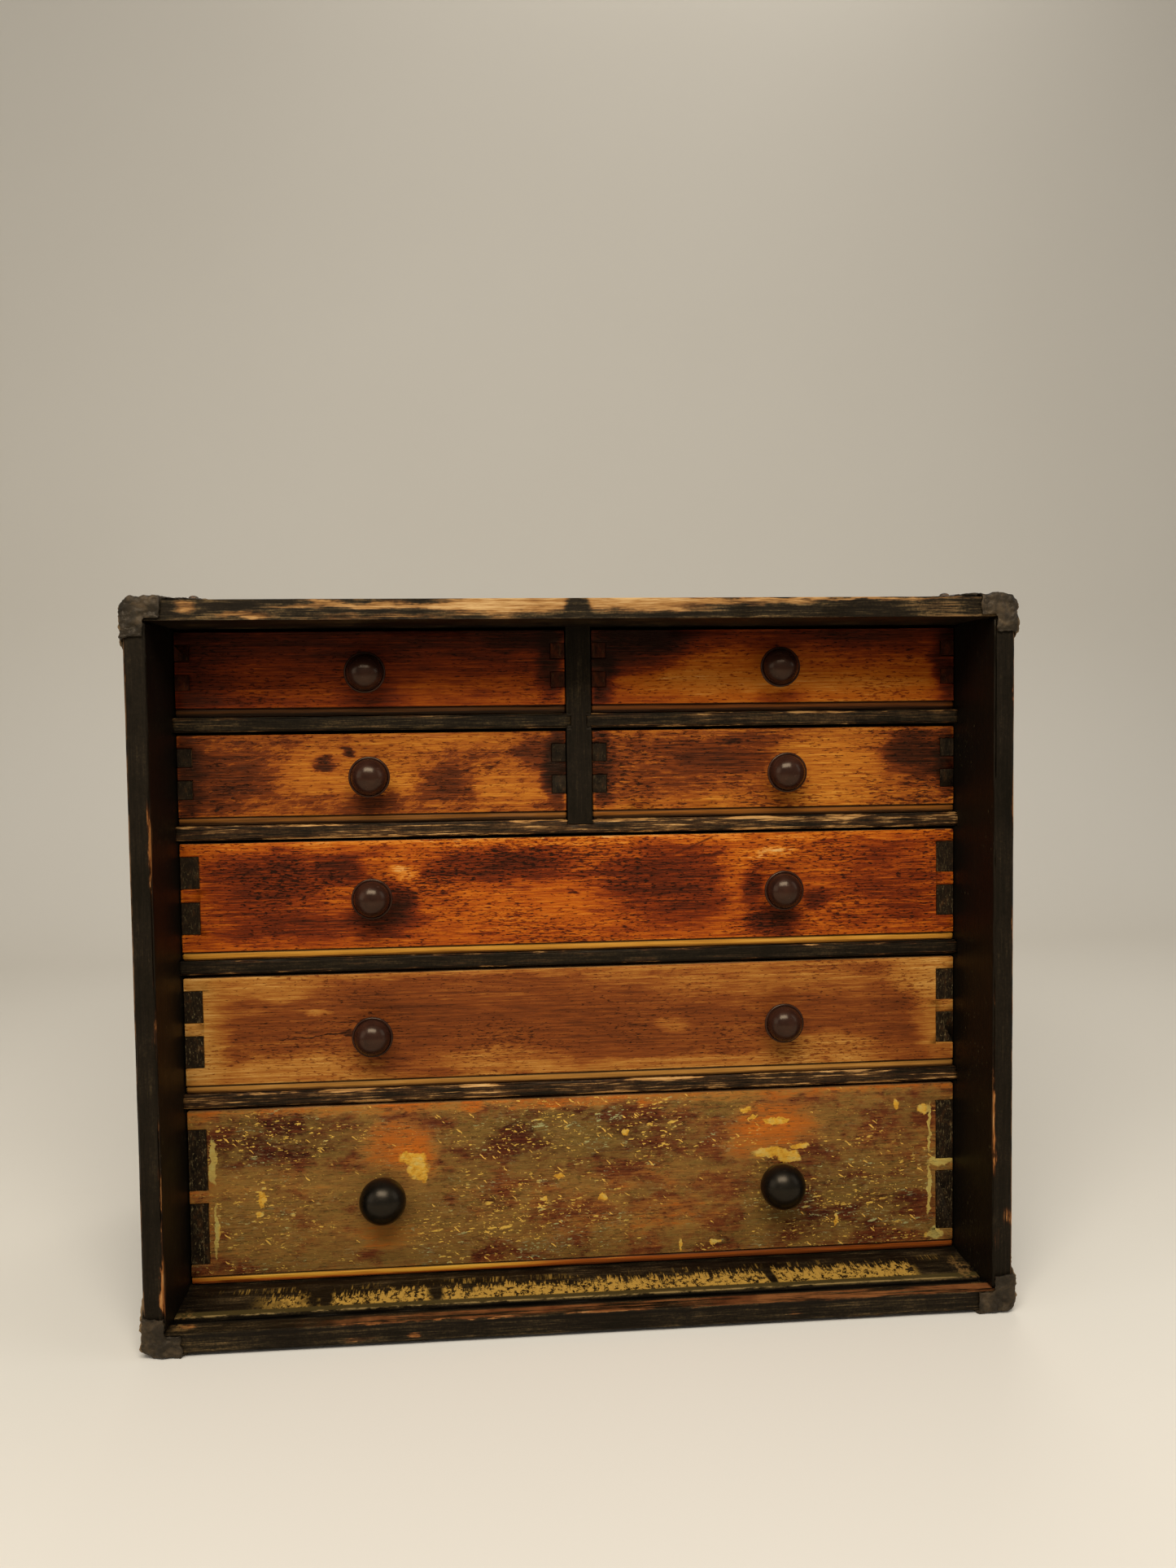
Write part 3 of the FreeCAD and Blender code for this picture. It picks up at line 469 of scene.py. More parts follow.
def paint_flakes(f, colour, seed):
    """Spilt paint on the bottom drawer: cream, yellow and pale green flakes, dribbles and dust."""
    olive = f.noise((26, 30, 15), 7, 0.7, seed + 40) + f.spot(-120, 45, 70, 28, 0.7) * 0.1
    glow = f.spot(106, 84, 21, 14, 0.5).most(f.spot(-95, 82, 18, 14, 0.5))
    olive = f.step(olive, 0.42, 0.58) * (1 - glow * 0.85)
    film = f.noise((7, 7, 2.2), 6, 0.7, seed + 41)
    colour = f.mix(olive * (film * 1.1 - 0.1).least(0.56).most(0), colour, (128, 102, 46))
    crowd = (
        f.spot(-160, 88, 38, 13)
        + f.spot(5, 86, 64, 16)
        + f.spot(-30, 38, 50, 22, 0.7)
        + f.spot(145, 40, 46, 28, 0.7)
        + f.spot(-168, 45, 30, 26, 0.7) * 0.6
    )
    crowd = crowd * 0.6 + f.noise((24, 24, 12), 6, 0.7, seed) * 2.4 - 1.05
    crowd = crowd.least(1).most(0)
    small = f.chips((3.4, 0.72), 4, 0.22, 3, 0.5)
    tiny = f.chips((1.6, 0.6), -14, 0.2, 4, 0.46)
    slanted = f.chips((4.6, 0.8), -40, 0.05, 5, 0.5)
    broad = f.chips((7, 1.5), 10, 0.1, 8, 0.5)
    dust = f.blots((4.6, 3, 0.9), 5, 0.75, seed + 12, 0.54, 0.66)
    green = f.blots((18, 18, 8), 4, 0.6, seed + 14, 0.5, 0.6)
    pale = f.mix(green, (196, 156, 66), (142, 138, 90))
    colour = f.mix((dust * crowd * 0.7).least(0.75), colour, f.mix(green, (142, 114, 62), (134, 132, 92)))
    colour = f.mix((tiny * crowd * 1.2).least(0.85), colour, pale)
    colour = f.mix((small * f.step(crowd, 0.25, 0.5)).least(0.95), colour, pale)
    colour = f.mix((slanted * f.step(crowd, 0.1, 0.3)).least(0.9), colour, (206, 160, 70))
    colour = f.mix((broad * f.step(crowd, 0.45, 0.7)).least(0.9), colour, pale)
    thick = 0
    for blob in BLOBS:
        thick = f.spot(*blob, 0.14, 1.7, (5, 5, 5)).most(thick)
    tone = f.noise((5, 5, 5), 4, 0.65, seed + 50)
    ends = f.step(f.x.size(), 188, 190)
    daub = f.ramp(tone + green * 0.1, (0.35, (160, 108, 32)), (0.5, (192, 142, 44)), (0.68, (186, 156, 78)))
    daub = f.mix(ends * 0.6, daub, (150, 142, 82))
    return f.mix(thick * 0.95, colour, daub)


# What each front has gone through, with painted shade where the top board and the recess walls shade the
# upper rows; its spots are x, z, wide, tall and gain.
STORIES = {
    "top_left": dict(
        film=0.08, level=0.42, seed=1, clouds=0.6,
        spots=[
            # painted shade: (-105, 352) darkens the top under the top board, (-200, 330) the left end by
            # the recess wall
            (-105, 352, 130, 15, -0.3), (-200, 330, 22, 30, -0.24), (-60, 318, 52, 8, 0.14),
            (-13, 334, 6, 16, -0.4), (-25, 348, 20, 8, -0.2), (-104, 318, 15, 7, -0.18),
        ],
    ),
    "top_right": dict(
        film=0.09, level=0.66, seed=2.3, clouds=0.5, dash=0.3,
        spots=[
            # painted shade: (110, 353) darkens the top under the top board, (202, 330) the right end by the
            # recess wall
            (28, 343, 30, 14, -0.62), (13, 326, 8, 14, -0.5), (110, 353, 120, 11, -0.4),
            (75, 324, 45, 8, 0.2), (150, 320, 40, 8, 0.12), (170, 342, 40, 10, -0.16),
            (202, 330, 9, 26, -0.5), (108, 313, 12, 5, -0.2), (40, 312, 24, 4, -0.12),
        ],
    ),
    "second_left": dict(
        level=0.49, seed=3.1, film=0.16, edge=0.03, mottle=(9, 10, 2.6), clouds=0.5, lean=14, fibre=0.75,
        rim_gain=0.1,
        spots=[
            # painted shade: (-182, 277) and (-199, 276) darken the left end by the recess wall
            (-182, 277, 22, 17, -0.14), (-199, 276, 7, 24, -0.24), (-112, 279, 34, 13, 0.16),
            (-130, 283, 6, 3, -0.42), (-117, 289.5, 3.4, 2, -0.42), (-70, 272, 14, 9, -0.2),
            (-34, 268, 16, 9, 0.14), (-10, 279, 6, 17, -0.5), (-22, 288, 10, 8, -0.16),
            (-104, 263, 12, 5, -0.2), (-80, 293, 90, 5, 0.08),
        ],
    ),
    "second_right": dict(
        level=0.52, seed=4.7, film=0.14, edge=0.035, mottle=(11, 10, 2.4), clouds=0.36, dash_from=0.57,
        lean=-4, fibre=0.8, dash=0.3, rim_gain=0.1,
        spots=[
            (46, 279, 42, 16, -0.1), (66, 283, 14, 7, -0.12), (13, 280, 6, 22, -0.24),
            # painted shade: (200, 280) darkens the right end by the recess wall
            (136, 277, 28, 20, 0.12), (184, 283, 17, 11, -0.36), (200, 280, 6, 18, -0.3),
            (98, 293, 20, 4, -0.12), (118, 262, 60, 6, 0.06), (83, 292, 5, 1.4, -0.35),
            (90, 283, 14, 8, -0.12),
        ],
    ),
    "third": dict(
        level=0.53, seed=5.9, film=0.13, clouds=0.4, edge=0.04, mottle=(20, 12, 1.8), fibre=0.95, dash=0.34,
        dash_from=0.55, scratch=(62, 236.4, 27, 23.5),
        spots=[
            (-158, 222, 28, 17, -0.2), (-122, 227, 12, 6, -0.28), (-101, 202, 18, 8, -0.26),
            (-93, 210, 8, 8, -0.34), (-150, 198, 46, 7, -0.12), (-40, 229, 32, 8, -0.24),
            (-20, 205, 48, 10, 0.12), (46, 216, 34, 19, -0.2), (93, 213, 6, 8, -0.28),
            (84, 222, 9, 14, 0.14), (104, 196, 13, 7, -0.36), (172, 214, 26, 22, -0.12),
            (130, 206, 7, 4, -0.3), (-2, 212, 4, 1.6, -0.4), (-90, 225, 7, 2.6, 0.46),
            (104, 232, 12, 2.2, 0.42), (0, 241, 210, 2.6, 0.2), (70, 232, 13, 1.1, -0.25),
        ],
    ),
    "fourth": dict(
        level=0.43, seed=7.2, film=0.1, edge=0.05, clouds=0.4, fibre=0.65, dash=0.28,
        spots=[
            (-200, 145, 14, 34, 0.4), (-165, 167, 26, 7, 0.24), (-150, 122, 50, 8, 0.3),
            (-40, 124, 30, 8, 0.24), (60, 119, 90, 4, 0.22), (130, 126, 28, 7, 0.24),
            (188, 164, 18, 10, 0.26), (196, 142, 12, 22, 0.3), (90, 164, 70, 7, 0.18),
            (-94, 158, 26, 9, -0.08), (50, 141, 9, 4, 0.18), (-10, 146, 90, 16, -0.06),
            (170, 140, 32, 12, -0.05), (-105, 126, 14, 6, -0.12), (0, 172, 205, 2.4, 0.14),
            (-132, 141, 18, 0.7, -0.5), (-136, 152, 5, 2, 0.3),
        ],
    ),
    "bottom": dict(
        level=0.4, seed=8.8, film=0.17, edge=0.1, mottle=(10, 9, 3.4), clouds=0.5, fibre=0.7,
        flakes=paint_flakes,
        spots=[
            (-97, 84, 18, 11, 0.3), (-86, 72, 12, 12, 0.24), (106, 84, 20, 13, 0.38), (88, 72, 10, 8, 0.22),
            (-103, 33, 14, 8, 0.26), (0, 102, 210, 2.6, 0.28), (-160, 86, 34, 12, -0.2),
            (-5, 84, 50, 14, -0.2), (140, 40, 45, 20, -0.16), (-150, 50, 50, 22, 0.06),
            (40, 45, 60, 18, 0.08), (-198, 60, 8, 50, 0.12), (198, 60, 8, 50, 0.06), (-60, 22, 60, 5, -0.1),
        ],
    ),
}
AMBER = [
    (0, (22, 9, 4)), (0.2, (54, 22, 8)), (0.38, (98, 42, 12)), (0.54, (132, 66, 16)), (0.7, (162, 96, 26)),
    (0.86, (182, 122, 44)), (1, (198, 156, 92)),
]
RUSSET = [
    (0, (26, 9, 4)), (0.2, (60, 21, 8)), (0.38, (104, 36, 8)), (0.54, (140, 60, 10)), (0.7, (166, 84, 14)),
    (0.86, (186, 112, 34)), (1, (196, 152, 90)),
]
DULL = [
    (0, (34, 15, 6)), (0.2, (74, 34, 13)), (0.4, (108, 52, 18)), (0.55, (128, 70, 24)),
    (0.7, (152, 98, 38)), (0.85, (176, 126, 60)), (1, (200, 156, 92)),
]
SMOKED = [
    (0, (40, 14, 9)), (0.2, (70, 30, 15)), (0.36, (98, 50, 23)), (0.52, (124, 76, 32)),
    (0.68, (148, 78, 23)), (0.85, (172, 88, 20)), (1, (196, 130, 52)),
]
STRIPS = {
    "top_left": ([(0.2, (22, 11, 5)), (0.6, (74, 42, 16)), (1, (138, 92, 40))], 0.42),
    "top_right": ([(0.2, (26, 12, 5)), (0.6, (96, 50, 16)), (1, (160, 100, 40))], 0.48),
    "second_left": ([(0.2, (40, 22, 8)), (0.6, (112, 68, 24)), (1, (180, 128, 58))], 0.5),
    "second_right": ([(0.2, (40, 22, 8)), (0.6, (118, 68, 20)), (1, (184, 122, 48))], 0.5),
    "third": ([(0.2, (74, 40, 10)), (0.6, (160, 108, 34)), (1, (196, 150, 66))], 0.62),
    "fourth": ([(0.2, (70, 42, 16)), (0.6, (146, 100, 42)), (1, (190, 148, 82))], 0.56),
    "bottom": (
        [(0.2, (80, 36, 10)), (0.55, (136, 66, 16)), (0.75, (182, 126, 38)), (1, (204, 160, 62))], 0.45
    ),
}
FLOOR_SPOTS = {"bottom": [(-110, 90, 0.34), (120, 80, -0.1)]}


# ---- the boards' paint
def dragged_floor(f, colour, rough, height, seed):
    """The recess floor, scraped in stripes to yellow wood where a flap once rubbed, and its grooved lip,
    with painted shade in the groove and a painted highlight on its back arris.

    In y the recess runs from -127 at the front edge to -76 at the drawers."""
    up = f.step(f.z, 11.2, 11.8)
    teeth = f.noise((1.5, 26, 40), 6, 0.74, seed + 21)
    run = f.noise((24, 50, 60), 4, 0.62, seed + 23)
    reach = f.y + (teeth - 0.5) * 44 + (run - 0.5) * 22
    comb = f.step(reach, -91, -94)
    bare_spots = f.blots((2.2, 3.4, 9), 5, 0.7, seed + 26, 0.4, 0.5)
    fade = f.step(f.x + (teeth - 0.5) * 60, -150, -20) * 0.55 + 0.45
    ends = f.step(f.x, -172, -150) * f.step(f.x, 177, 170) * f.step(f.y, -106.6, -105.2)
    comb = comb * ends * bare_spots * f.step(fade + run, 0.86, 1) * up
    gap = f.patch((97, -100, None), (2.4, 16, 1), 0.3, 1) + f.patch((-77, -98, None), (4, 14, 1), 0.4, 1.6)
    comb = comb * (1 - gap.least(1))
    far = f.step(f.y, -82, -84) * f.step(f.y, -90, -88) * f.step(teeth, 0.5, 0.62)
    far = far * f.step(run, 0.46, 0.6) * up
    lip = f.step(f.y, -111.2, -109.8) * f.step(f.y, -104.8, -106.4) * up
    dots = f.noise((9, 5, 9), 5, 0.7, 31)
    # painted highlight: a pale broken line along the back arris of the groove, near y -110.5
    line = f.step(f.y, -111.6, -111) * f.step(f.y, -109.2, -110.2) * f.step(dots, 0.44, 0.56) * up
    fore = f.step(f.y, -117.8, -119.6) * up * f.blots((40, 3, 30), 6, 0.68, seed + 27, 0.42, 0.56)
    fore = fore * f.step(f.x + (run - 0.5) * 120, -150, -85)
    yellow = f.ramp(teeth * 0.6 + bare_spots * 0.3, (0.3, (132, 92, 34)), (0.6, (178, 138, 60)))
    colour = f.mix(lip * 0.7, colour, (72, 60, 30))
    colour = f.mix((comb + far * 0.6).least(1) * 0.92, colour, yellow)
    # painted highlight on the groove's back arris
    colour = f.mix(line * 0.8, colour, (150, 124, 74))
    colour = f.mix(fore * 0.85, colour, f.ramp(run, (0.35, (84, 42, 20)), (0.6, (136, 84, 44))))
    corner = f.patch((-198, -114, None), (5, 8, 1), 0.5)
    corner = corner + f.patch((199, -104, None), (4, 14, 1), 0.5)
    flecked = f.blots((2, 2.6, 9), 4, 0.7, seed + 33, 0.46, 0.56)
    colour = f.mix(corner.least(1) * up * flecked * 0.6, colour, (132, 98, 52))
    # painted shade: the walls and bottom of the groove in the floor's lip are darkened to near black
    groove_shade = f.step(f.z, 11.3, 10.6) * f.step(f.z, 9, 9.8)
    colour = f.mix(groove_shade * 0.8, colour, (10, 8, 6))
    return colour, rough, height + comb * -0.6


def inner_wall(f, colour, rough, height, seed):
    """The walls of the recess are darkened to near black as painted shade, with real scratches over it;
    flanks are scuffed and the outer arris is rubbed.
    """
    # painted shade: the inner faces of the recess walls are mixed towards near black, as if lying in the
    # recess's shade
    inner = f.step(f.x.size(), 205.1, 204.6)
    scratch = f.chips((2.4, 0.7), 64, 0.12, seed, 0.42) * f.blots((9, 30, 30), 4, 0.6, seed + 9, 0.5, 0.6)
    shade_and_scratches = f.mix(scratch * 0.6, (11, 8, 5), (92, 84, 58))
    colour = f.mix(inner * 0.86, colour, shade_and_scratches)
    flank = f.step(f.x.size(), 214.2, 214.8)
    crowd = f.blots((30, 40, 34), 4, 0.62, seed + 12, 0.48, 0.62)
    rubs = f.blots((30, 3.2, 22), 6, 0.72, seed + 17, 0.58, 0.66)
    cuts = f.blots((30, 22, 0.9), 5, 0.7, seed + 18, 0.62, 0.67)
    colour = f.mix((rubs * 0.55).most(cuts * 0.8) * crowd * flank, colour, (92, 66, 40))
    outer = f.step(f.x.size(), 213.9, 214.8) * f.step(f.y, -125.2, -126.4)
    thread = f.blots((2, 2, 16), 5, 0.66, seed + 15, 0.44, 0.58)
    colour = f.mix(outer * thread * 0.7, colour, (142, 104, 68))
    return colour, rough, height


# Rubbed places of the boards: x, y, z, wide, deep, tall, gain.
TOP_SPOTS = [
    (-34, -127, 359.5, 34, 8, 4.6, 0.42), (-100, -127, 359, 50, 5, 1.6, 0.26),
    (32, -127, 359.5, 34, 8, 4.6, 0.44), (-104, -127, 353.5, 44, 6, 1.5, 0.13),
    (-50, -127, 353.5, 60, 5, 1.3, 0.05), (-96, -127, 356.5, 66, 6, 3.6, 0.1),
    (-186, -127, 359, 6, 5, 3, 0.34), (-160, -127, 355, 14, 5, 1.6, 0.3),
    (92, -127, 360, 30, 5, 1.8, 0.26), (140, -127, 361.5, 60, 5, 0.9, 0.26),
    (174, -127, 357, 18, 4, 3.4, 0.16), (-2, -127, 357, 5, 10, 8, -0.6), (0, -40, 362, 120, 60, 6, 0.06),
    (0, 127, 362, 190, 4, 4, 0.16),
]
BOTTOM_SPOTS = [
    (-112, -127, 5, 12, 6, 2.4, 0.26), (-87, -127, 5, 4.4, 4, 2, 0.36), (103, -127, 6, 5, 4, 2, 0.28),
    (-90, -127, 12, 40, 3, 1.2, 0.3), (60, -127, 12, 120, 3, 1, 0.22),
    (150, -127, 1.5, 50, 3, 1.6, 0.22), (-196, -120, 12, 5, 4, 2, 0.3),
]
LEFT_SPOTS = [
    (-204.5, -127, 245, 2.6, 5, 32, 0.4), (-204.5, -127, 155, 2.4, 5, 36, 0.34),
    (-204.5, -127, 70, 2.2, 5, 44, 0.3), (-204.5, -127, 32, 2.8, 5, 14, 0.34),
    (-215, -127, 320, 1.2, 4, 26, 0.3), (-215, -127, 180, 1.1, 4, 60, 0.2),
]
RIGHT_SPOTS = [
    (215, -127, 320, 1.6, 5, 13, 0.42), (215, -127, 262, 1.5, 5, 18, 0.36),
    (215, -127, 198, 1.5, 5, 14, 0.36), (215, -127, 157, 1.6, 5, 9, 0.4),
    (204.5, -127, 150, 1.3, 5, 30, 0.26), (204.5, -127, 92, 2.2, 5, 28, 0.38),
    (212, -127, 50, 3, 4, 6, 0.34), (207, -127, 38, 2.2, 4, 9, 0.3),
]
SIDE_PAINT = dict(level=0.1, rub=0.14, wood=FRAME_WOOD, streak=0.6, dark=0.1, extra=inner_wall)
PAINTED = {
    "top_board": dict(seed=1.7, spots=TOP_SPOTS, level=0.21, rub=0.18, thin=0.32, wood=TOP_WOOD, soft=0.07),
    "bottom_board": dict(
        seed=3.9, spots=BOTTOM_SPOTS, level=0.16, rub=0.16, thin=0.1, wood=FRAME_WOOD, extra=dragged_floor
    ),
    "side_left": dict(seed=5.2, spots=LEFT_SPOTS, **SIDE_PAINT),
    "side_right": dict(seed=6.6, spots=RIGHT_SPOTS, **SIDE_PAINT),
    "centre_partition": dict(seed=2.8, level=0.27, rub=0.14, thin=0.1, streak=0.5, dark=0.1),
    "divider_top_left": dict(seed=7.9, level=0.34, rub=0.14, thin=0.1),
    "divider_top_right": dict(seed=8.4, level=0.38, rub=0.16, thin=0.1),
    "divider_above_third": dict(seed=9.3, level=0.44, rub=0.14, thin=0.14),
    "divider_above_fourth": dict(seed=10.1, level=0.34, rub=0.2, streak=0.9, dark=0.04),
    "divider_above_bottom": dict(seed=11.6, level=0.44, rub=0.18, thin=0.12),
}
# How far a kind of board is rounded and worn down, in what stretches; its sway, and the pace of its cuts.
BOARD_WEAR = {
    "top": (1.1, 1.5, 24, 0.25, 4),
    "bottom": (1.1, 1.5, 24, 0.25, 4),
    "side": (1.1, 1.4, 26, 0.2, 4),
    "centre": (0.8, 0.8, 16, 0.1, 3.5),
    "divider": (0.6, 0.9, 16, 0.1, 3.5),
}
UPRIGHT = ("side_left", "side_right", "centre_partition")


def nail_boxes():
    """Boxes round every nail and pin, read from their nodes."""
    boxes = []
    for node in ("cap_nails", "panel_pins"):
        shape = bmesh.new()
        shape.from_mesh(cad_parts[node].data)
        bmesh.ops.remove_doubles(shape, verts=shape.verts, dist=WELD)
        left = set(shape.verts)
        while left:
            island, edge = set(), [left.pop()]
            while edge:
                v = edge.pop()
                island.add(v)
                near = {e.other_vert(v) for e in v.link_edges} & left
                left -= near
                edge += near
            low = [min(v.co[i] for v in island) - 5e-5 for i in range(3)]
            high = [max(v.co[i] for v in island) + 5e-5 for i in range(3)]
            boxes.append((low, high))
        shape.free()
    return boxes


NAILS = nail_boxes()


def knob_places(row):
    """The (x, z) of a drawer's knobs, in millimetres, from their node."""
    node = f"drawer_{row}_knob"
    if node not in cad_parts:
        node += "s"
    corners = [v.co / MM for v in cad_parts[node].data.vertices]
    places = []
    for group in ([c for c in corners if c.x < 0], [c for c in corners if c.x >= 0]):
        if group:
            xs, zs = [c.x for c in group], [c.z for c in group]
            places.append(((min(xs) + max(xs)) / 2, (min(zs) + max(zs)) / 2))
    return node, places


def plug_holes(shape, holes):
    """Closes the holes that nails and spigots fill, so that the board can be worn down as one surface."""
    inside = set()
    for v in shape.verts:
        if any(all(a <= c <= b for a, c, b in zip(low, v.co, high)) for low, high in holes):
            inside.add(v)
    walls = [f for f in shape.faces if inside.issuperset(f.verts)]
    bmesh.ops.delete(shape, geom=walls, context="FACES")
    bmesh.ops.delete(shape, geom=[v for v in shape.verts if not v.link_faces], context="VERTS")
    bmesh.ops.holes_fill(shape, edges=[e for e in shape.edges if e.is_boundary], sides=0)
    make_flats_whole(shape)


def worn_board(
    node, round_off, deep, length, seed, cuts, sway, finish, holes=(), body="carcase"
):
    """A CAD board with rounded, knocked arrises.  Its cuts are (axis, places)."""
    shape = node_mesh(node)
    plug_holes(shape, holes)
    soften(shape, round_off)
    bmesh.ops.triangulate(shape, faces=shape.faces)
    for axis, places in cuts:
        slice_along(shape, axis, places)
    wear_down(shape, deep, length, seed, sway)
    show(node + "_worn", as_mesh(shape, node + "_worn"), body, finish, [node])


def carcase():
    outer_depths = [-125.5, -123, -119, *spaced(-115, 115, 12), 120, 124]
    for node, recipe in PAINTED.items():
        low, high = span(node)
        along = "z" if node in UPRIGHT else "x"
        finish = worn_paint("paint_" + node, node, along=along, **recipe)
        kind = node.split("_")[0]
        round_off, deep, length, sway, pace = BOARD_WEAR[kind]
        depths = [low.y + 3, low.y + 9] if kind in ("divider", "centre") else outer_depths
        cuts = [(along, spaced(getattr(low, along), getattr(high, along), pace)), ("y", depths)]
        worn_board(node, round_off, deep, length, recipe["seed"], cuts, sway, finish, NAILS)


def back():
    """The panel at the back: dry dark pine with a coat of old stain."""
    f = Finish("old_stained_back")
    grain = f.noise((2.2, 30, 90), 4, 0.62, 4.4, 0.5)
    cloud = f.noise((60, 60, 60), 4, 0.6, 2)
    warmth = grain * 0.5 + cloud * 0.6 - 0.1
    colour = f.ramp(warmth, (0.2, (30, 21, 14)), (0.5, (72, 46, 27)), (0.8, (122, 84, 50)))
    finish = f.done(colour, 0.6 + grain * 0.25, grain, 0.3, 0.7)
    low, high = span("back_panel")
    cuts = [("z", spaced(low.z, high.z, 12))]
    worn_board("back_panel", 0.4, 0.3, 30, 2, cuts, 0.1, finish, NAILS)


def drawers():
    sooty = end_grain_side("sooty_tails", 3, 0.15)
    flecked = end_grain_side("flecked_tails", 5, 0.5)
    brown = end_grain_side("brown_tails", 7, 0, -0.05)
    ruddy = end_grain_side("ruddy_tails", 9, 0, 0, RUDDY)
    inner = Finish("drawer_back_pine")
    colour, grain = raw_pine(inner, 9)
    inner_pine = inner.done(colour, 0.74, grain, 0.3, 0.7)
    stained = "stained_pine"
    looks = {
        "top_left": (RUSSET, ruddy, stained),
        "top_right": (RUSSET, ruddy, stained),
        "second_left": (AMBER, brown, stained),
        "second_right": (AMBER, brown, stained),
        "third": (RUSSET, sooty, stained),
        "fourth": (DULL, flecked, "worn_pine"),
        "bottom": (SMOKED, flecked, "flecked_pine"),
    }
    for row, story in STORIES.items():
        tag = "drawer_" + row
        low, high = span(tag + "_front")
        tones, tails, slot = looks[row]
        finish = rubbed_front("front_" + row, tag + "_front", tones, **story)
        cuts = [("x", spaced(low.x, high.x, 5)), ("z", spaced(low.z, high.z, 8))]
        seed = story["seed"]
        holes = []
        for x, z in knob_places(row)[1]:
            near = Vector((x - SPIGOT_ROOM, FACE - 1, z - SPIGOT_ROOM))
            far = Vector((x + SPIGOT_ROOM, FACE + SPIGOT_END, z + SPIGOT_ROOM))
            holes.append((near * MM, far * MM))
        worn_board(tag + "_front", 0.45, 0.5, 14, seed, cuts, 0.12, finish, holes, tag)
        for side in ("left", "right"):
            node = f"{tag}_side_{side}"
            cuts = [("y", [low.y + 2, low.y + 5])]
            worn_board(node, 0.3, 0.35, 9, seed + 1, cuts, 0.25, tails, (), tag)
        worn_board(tag + "_back", 0.4, 0.3, 20, seed + 2, [], 0, inner_pine, (), tag)
        strip, level = STRIPS[row]
        finish = floor_edge("floor_" + row, tag + "_floor", seed, strip, level, FLOOR_SPOTS.get(row, ()))
        low, high = span(tag + "_floor")
        cuts = [("x", spaced(low.x, high.x, 6)), ("y", [low.y + 2])]
        worn_board(tag + "_floor", 0.9, 0.5, 22, seed + 3, cuts, 0.1, finish, (), tag)


# ---- knobs
def turned(name, profile, axes, body, slot, finish, replaced):
    """A profile of (radius, distance out of the face), spun about each axis (x, z)."""
    around = 72
    shape = bmesh.new()
    for x, z in axes:
        rings = []
        for radius, out in profile:
            if radius == 0:
                rings.append([shape.verts.new((x * MM, (FACE - out) * MM, z * MM))])
                continue
            ring = []
            for i in range(around):
                a = tau * i / around
                place = (x + radius * cos(a), FACE - out, z + radius * sin(a))
                ring.append(shape.verts.new([c * MM for c in place]))
            rings.append(ring)
        for one, two in zip(rings, rings[1:]):
            for i in range(around):
                j = (i + 1) % around
                corners = [one[i % len(one)], one[j % len(one)], two[j % len(two)], two[i % len(two)]]
                shape.faces.new([v for k, v in enumerate(corners) if v not in corners[:k]])
    show(name, as_mesh(shape, name, 50), body, finish, replaced)


def curve(centre, wide, tall, angles, fullness=1):
    """A rounded stretch of a profile, about a centre of (radius, out), through those angles in degrees."""
    turns = [radians(t) for t in angles]
    return [(centre[0] + wide * cos(t) ** fullness, centre[1] + tall * sin(t)) for t in turns]


SPIGOT = [(0, -11), (3.6, -11), (4, -10.6), (4, 0)]
RIMMED = (
    SPIGOT
    + [(6.1, 0.05), (6.5, 0.35), (6.5, 1.1), (6.2, 1.5), (5.4, 2.1), (4.9, 3.1), (4.75, 4), (4.85, 5.2)]
    + [(5.3, 6.6), (6.2, 8), (7.6, 9.2), (9.3, 10.1), (10, 10.5)]
    + curve((9.7, 11.3), 0.8, 0.8, range(-60, 93, 19))
    + [(9.55, 12), (9.4, 11.8), (9.3, 12)]
    + curve((0, 12.2), 9.2, 7.8, range(4, 90, 4), 0.94)
    + [(0, 20)]
)
BALL = (
    SPIGOT
    + [(6.7, 0.05), (7, 0.4), (7, 1.1), (6.6, 1.5), (5.8, 2.2), (5.5, 3), (5.6, 3.5)]
    + curve((0, 12.2), 12, 10.8, range(-50, 90, 5))
    + [(0, 23)]
)


def knob_finish(name, dark, light, gloss, seed):
    f = Finish(name)
    cloud = f.noise((9, 9, 9), 4, 0.6, seed)
    rings = f.noise((30, 1.1, 30), 2, 0.5, seed + 3)
    scuff = f.blots((3, 3, 1.4), 3, 0.7, seed + 6, 0.63, 0.72)
    colour = f.ramp(cloud * 0.8 + rings * 0.3 - 0.05, (0.3, dark), (0.75, light))
    colour = f.mix(scuff * 0.25, colour, tuple(c + 26 for c in light))
    rough = gloss + (cloud - 0.5) * 0.2 + scuff * 0.15
    return f.done(colour, rough, cloud * 0.5 + rings * 0.2 + scuff * 0.2, 0.05, 0.4, gloss=0.24)


def knobs():
    brown = knob_finish("turned_brown", (27, 13, 9), (54, 30, 20), 0.23, 2)
    black = knob_finish("turned_black", (6, 5, 4), (15, 13, 9), 0.3, 6)
    for row in STORIES:
        node, places = knob_places(row)
        profile, slot, finish = RIMMED, "knob_brown", brown
        if row == "bottom":
            profile, slot, finish = BALL, "knob_black", black
        turned(node + "_turned", profile, places, "drawer_" + row, slot, finish, [node])


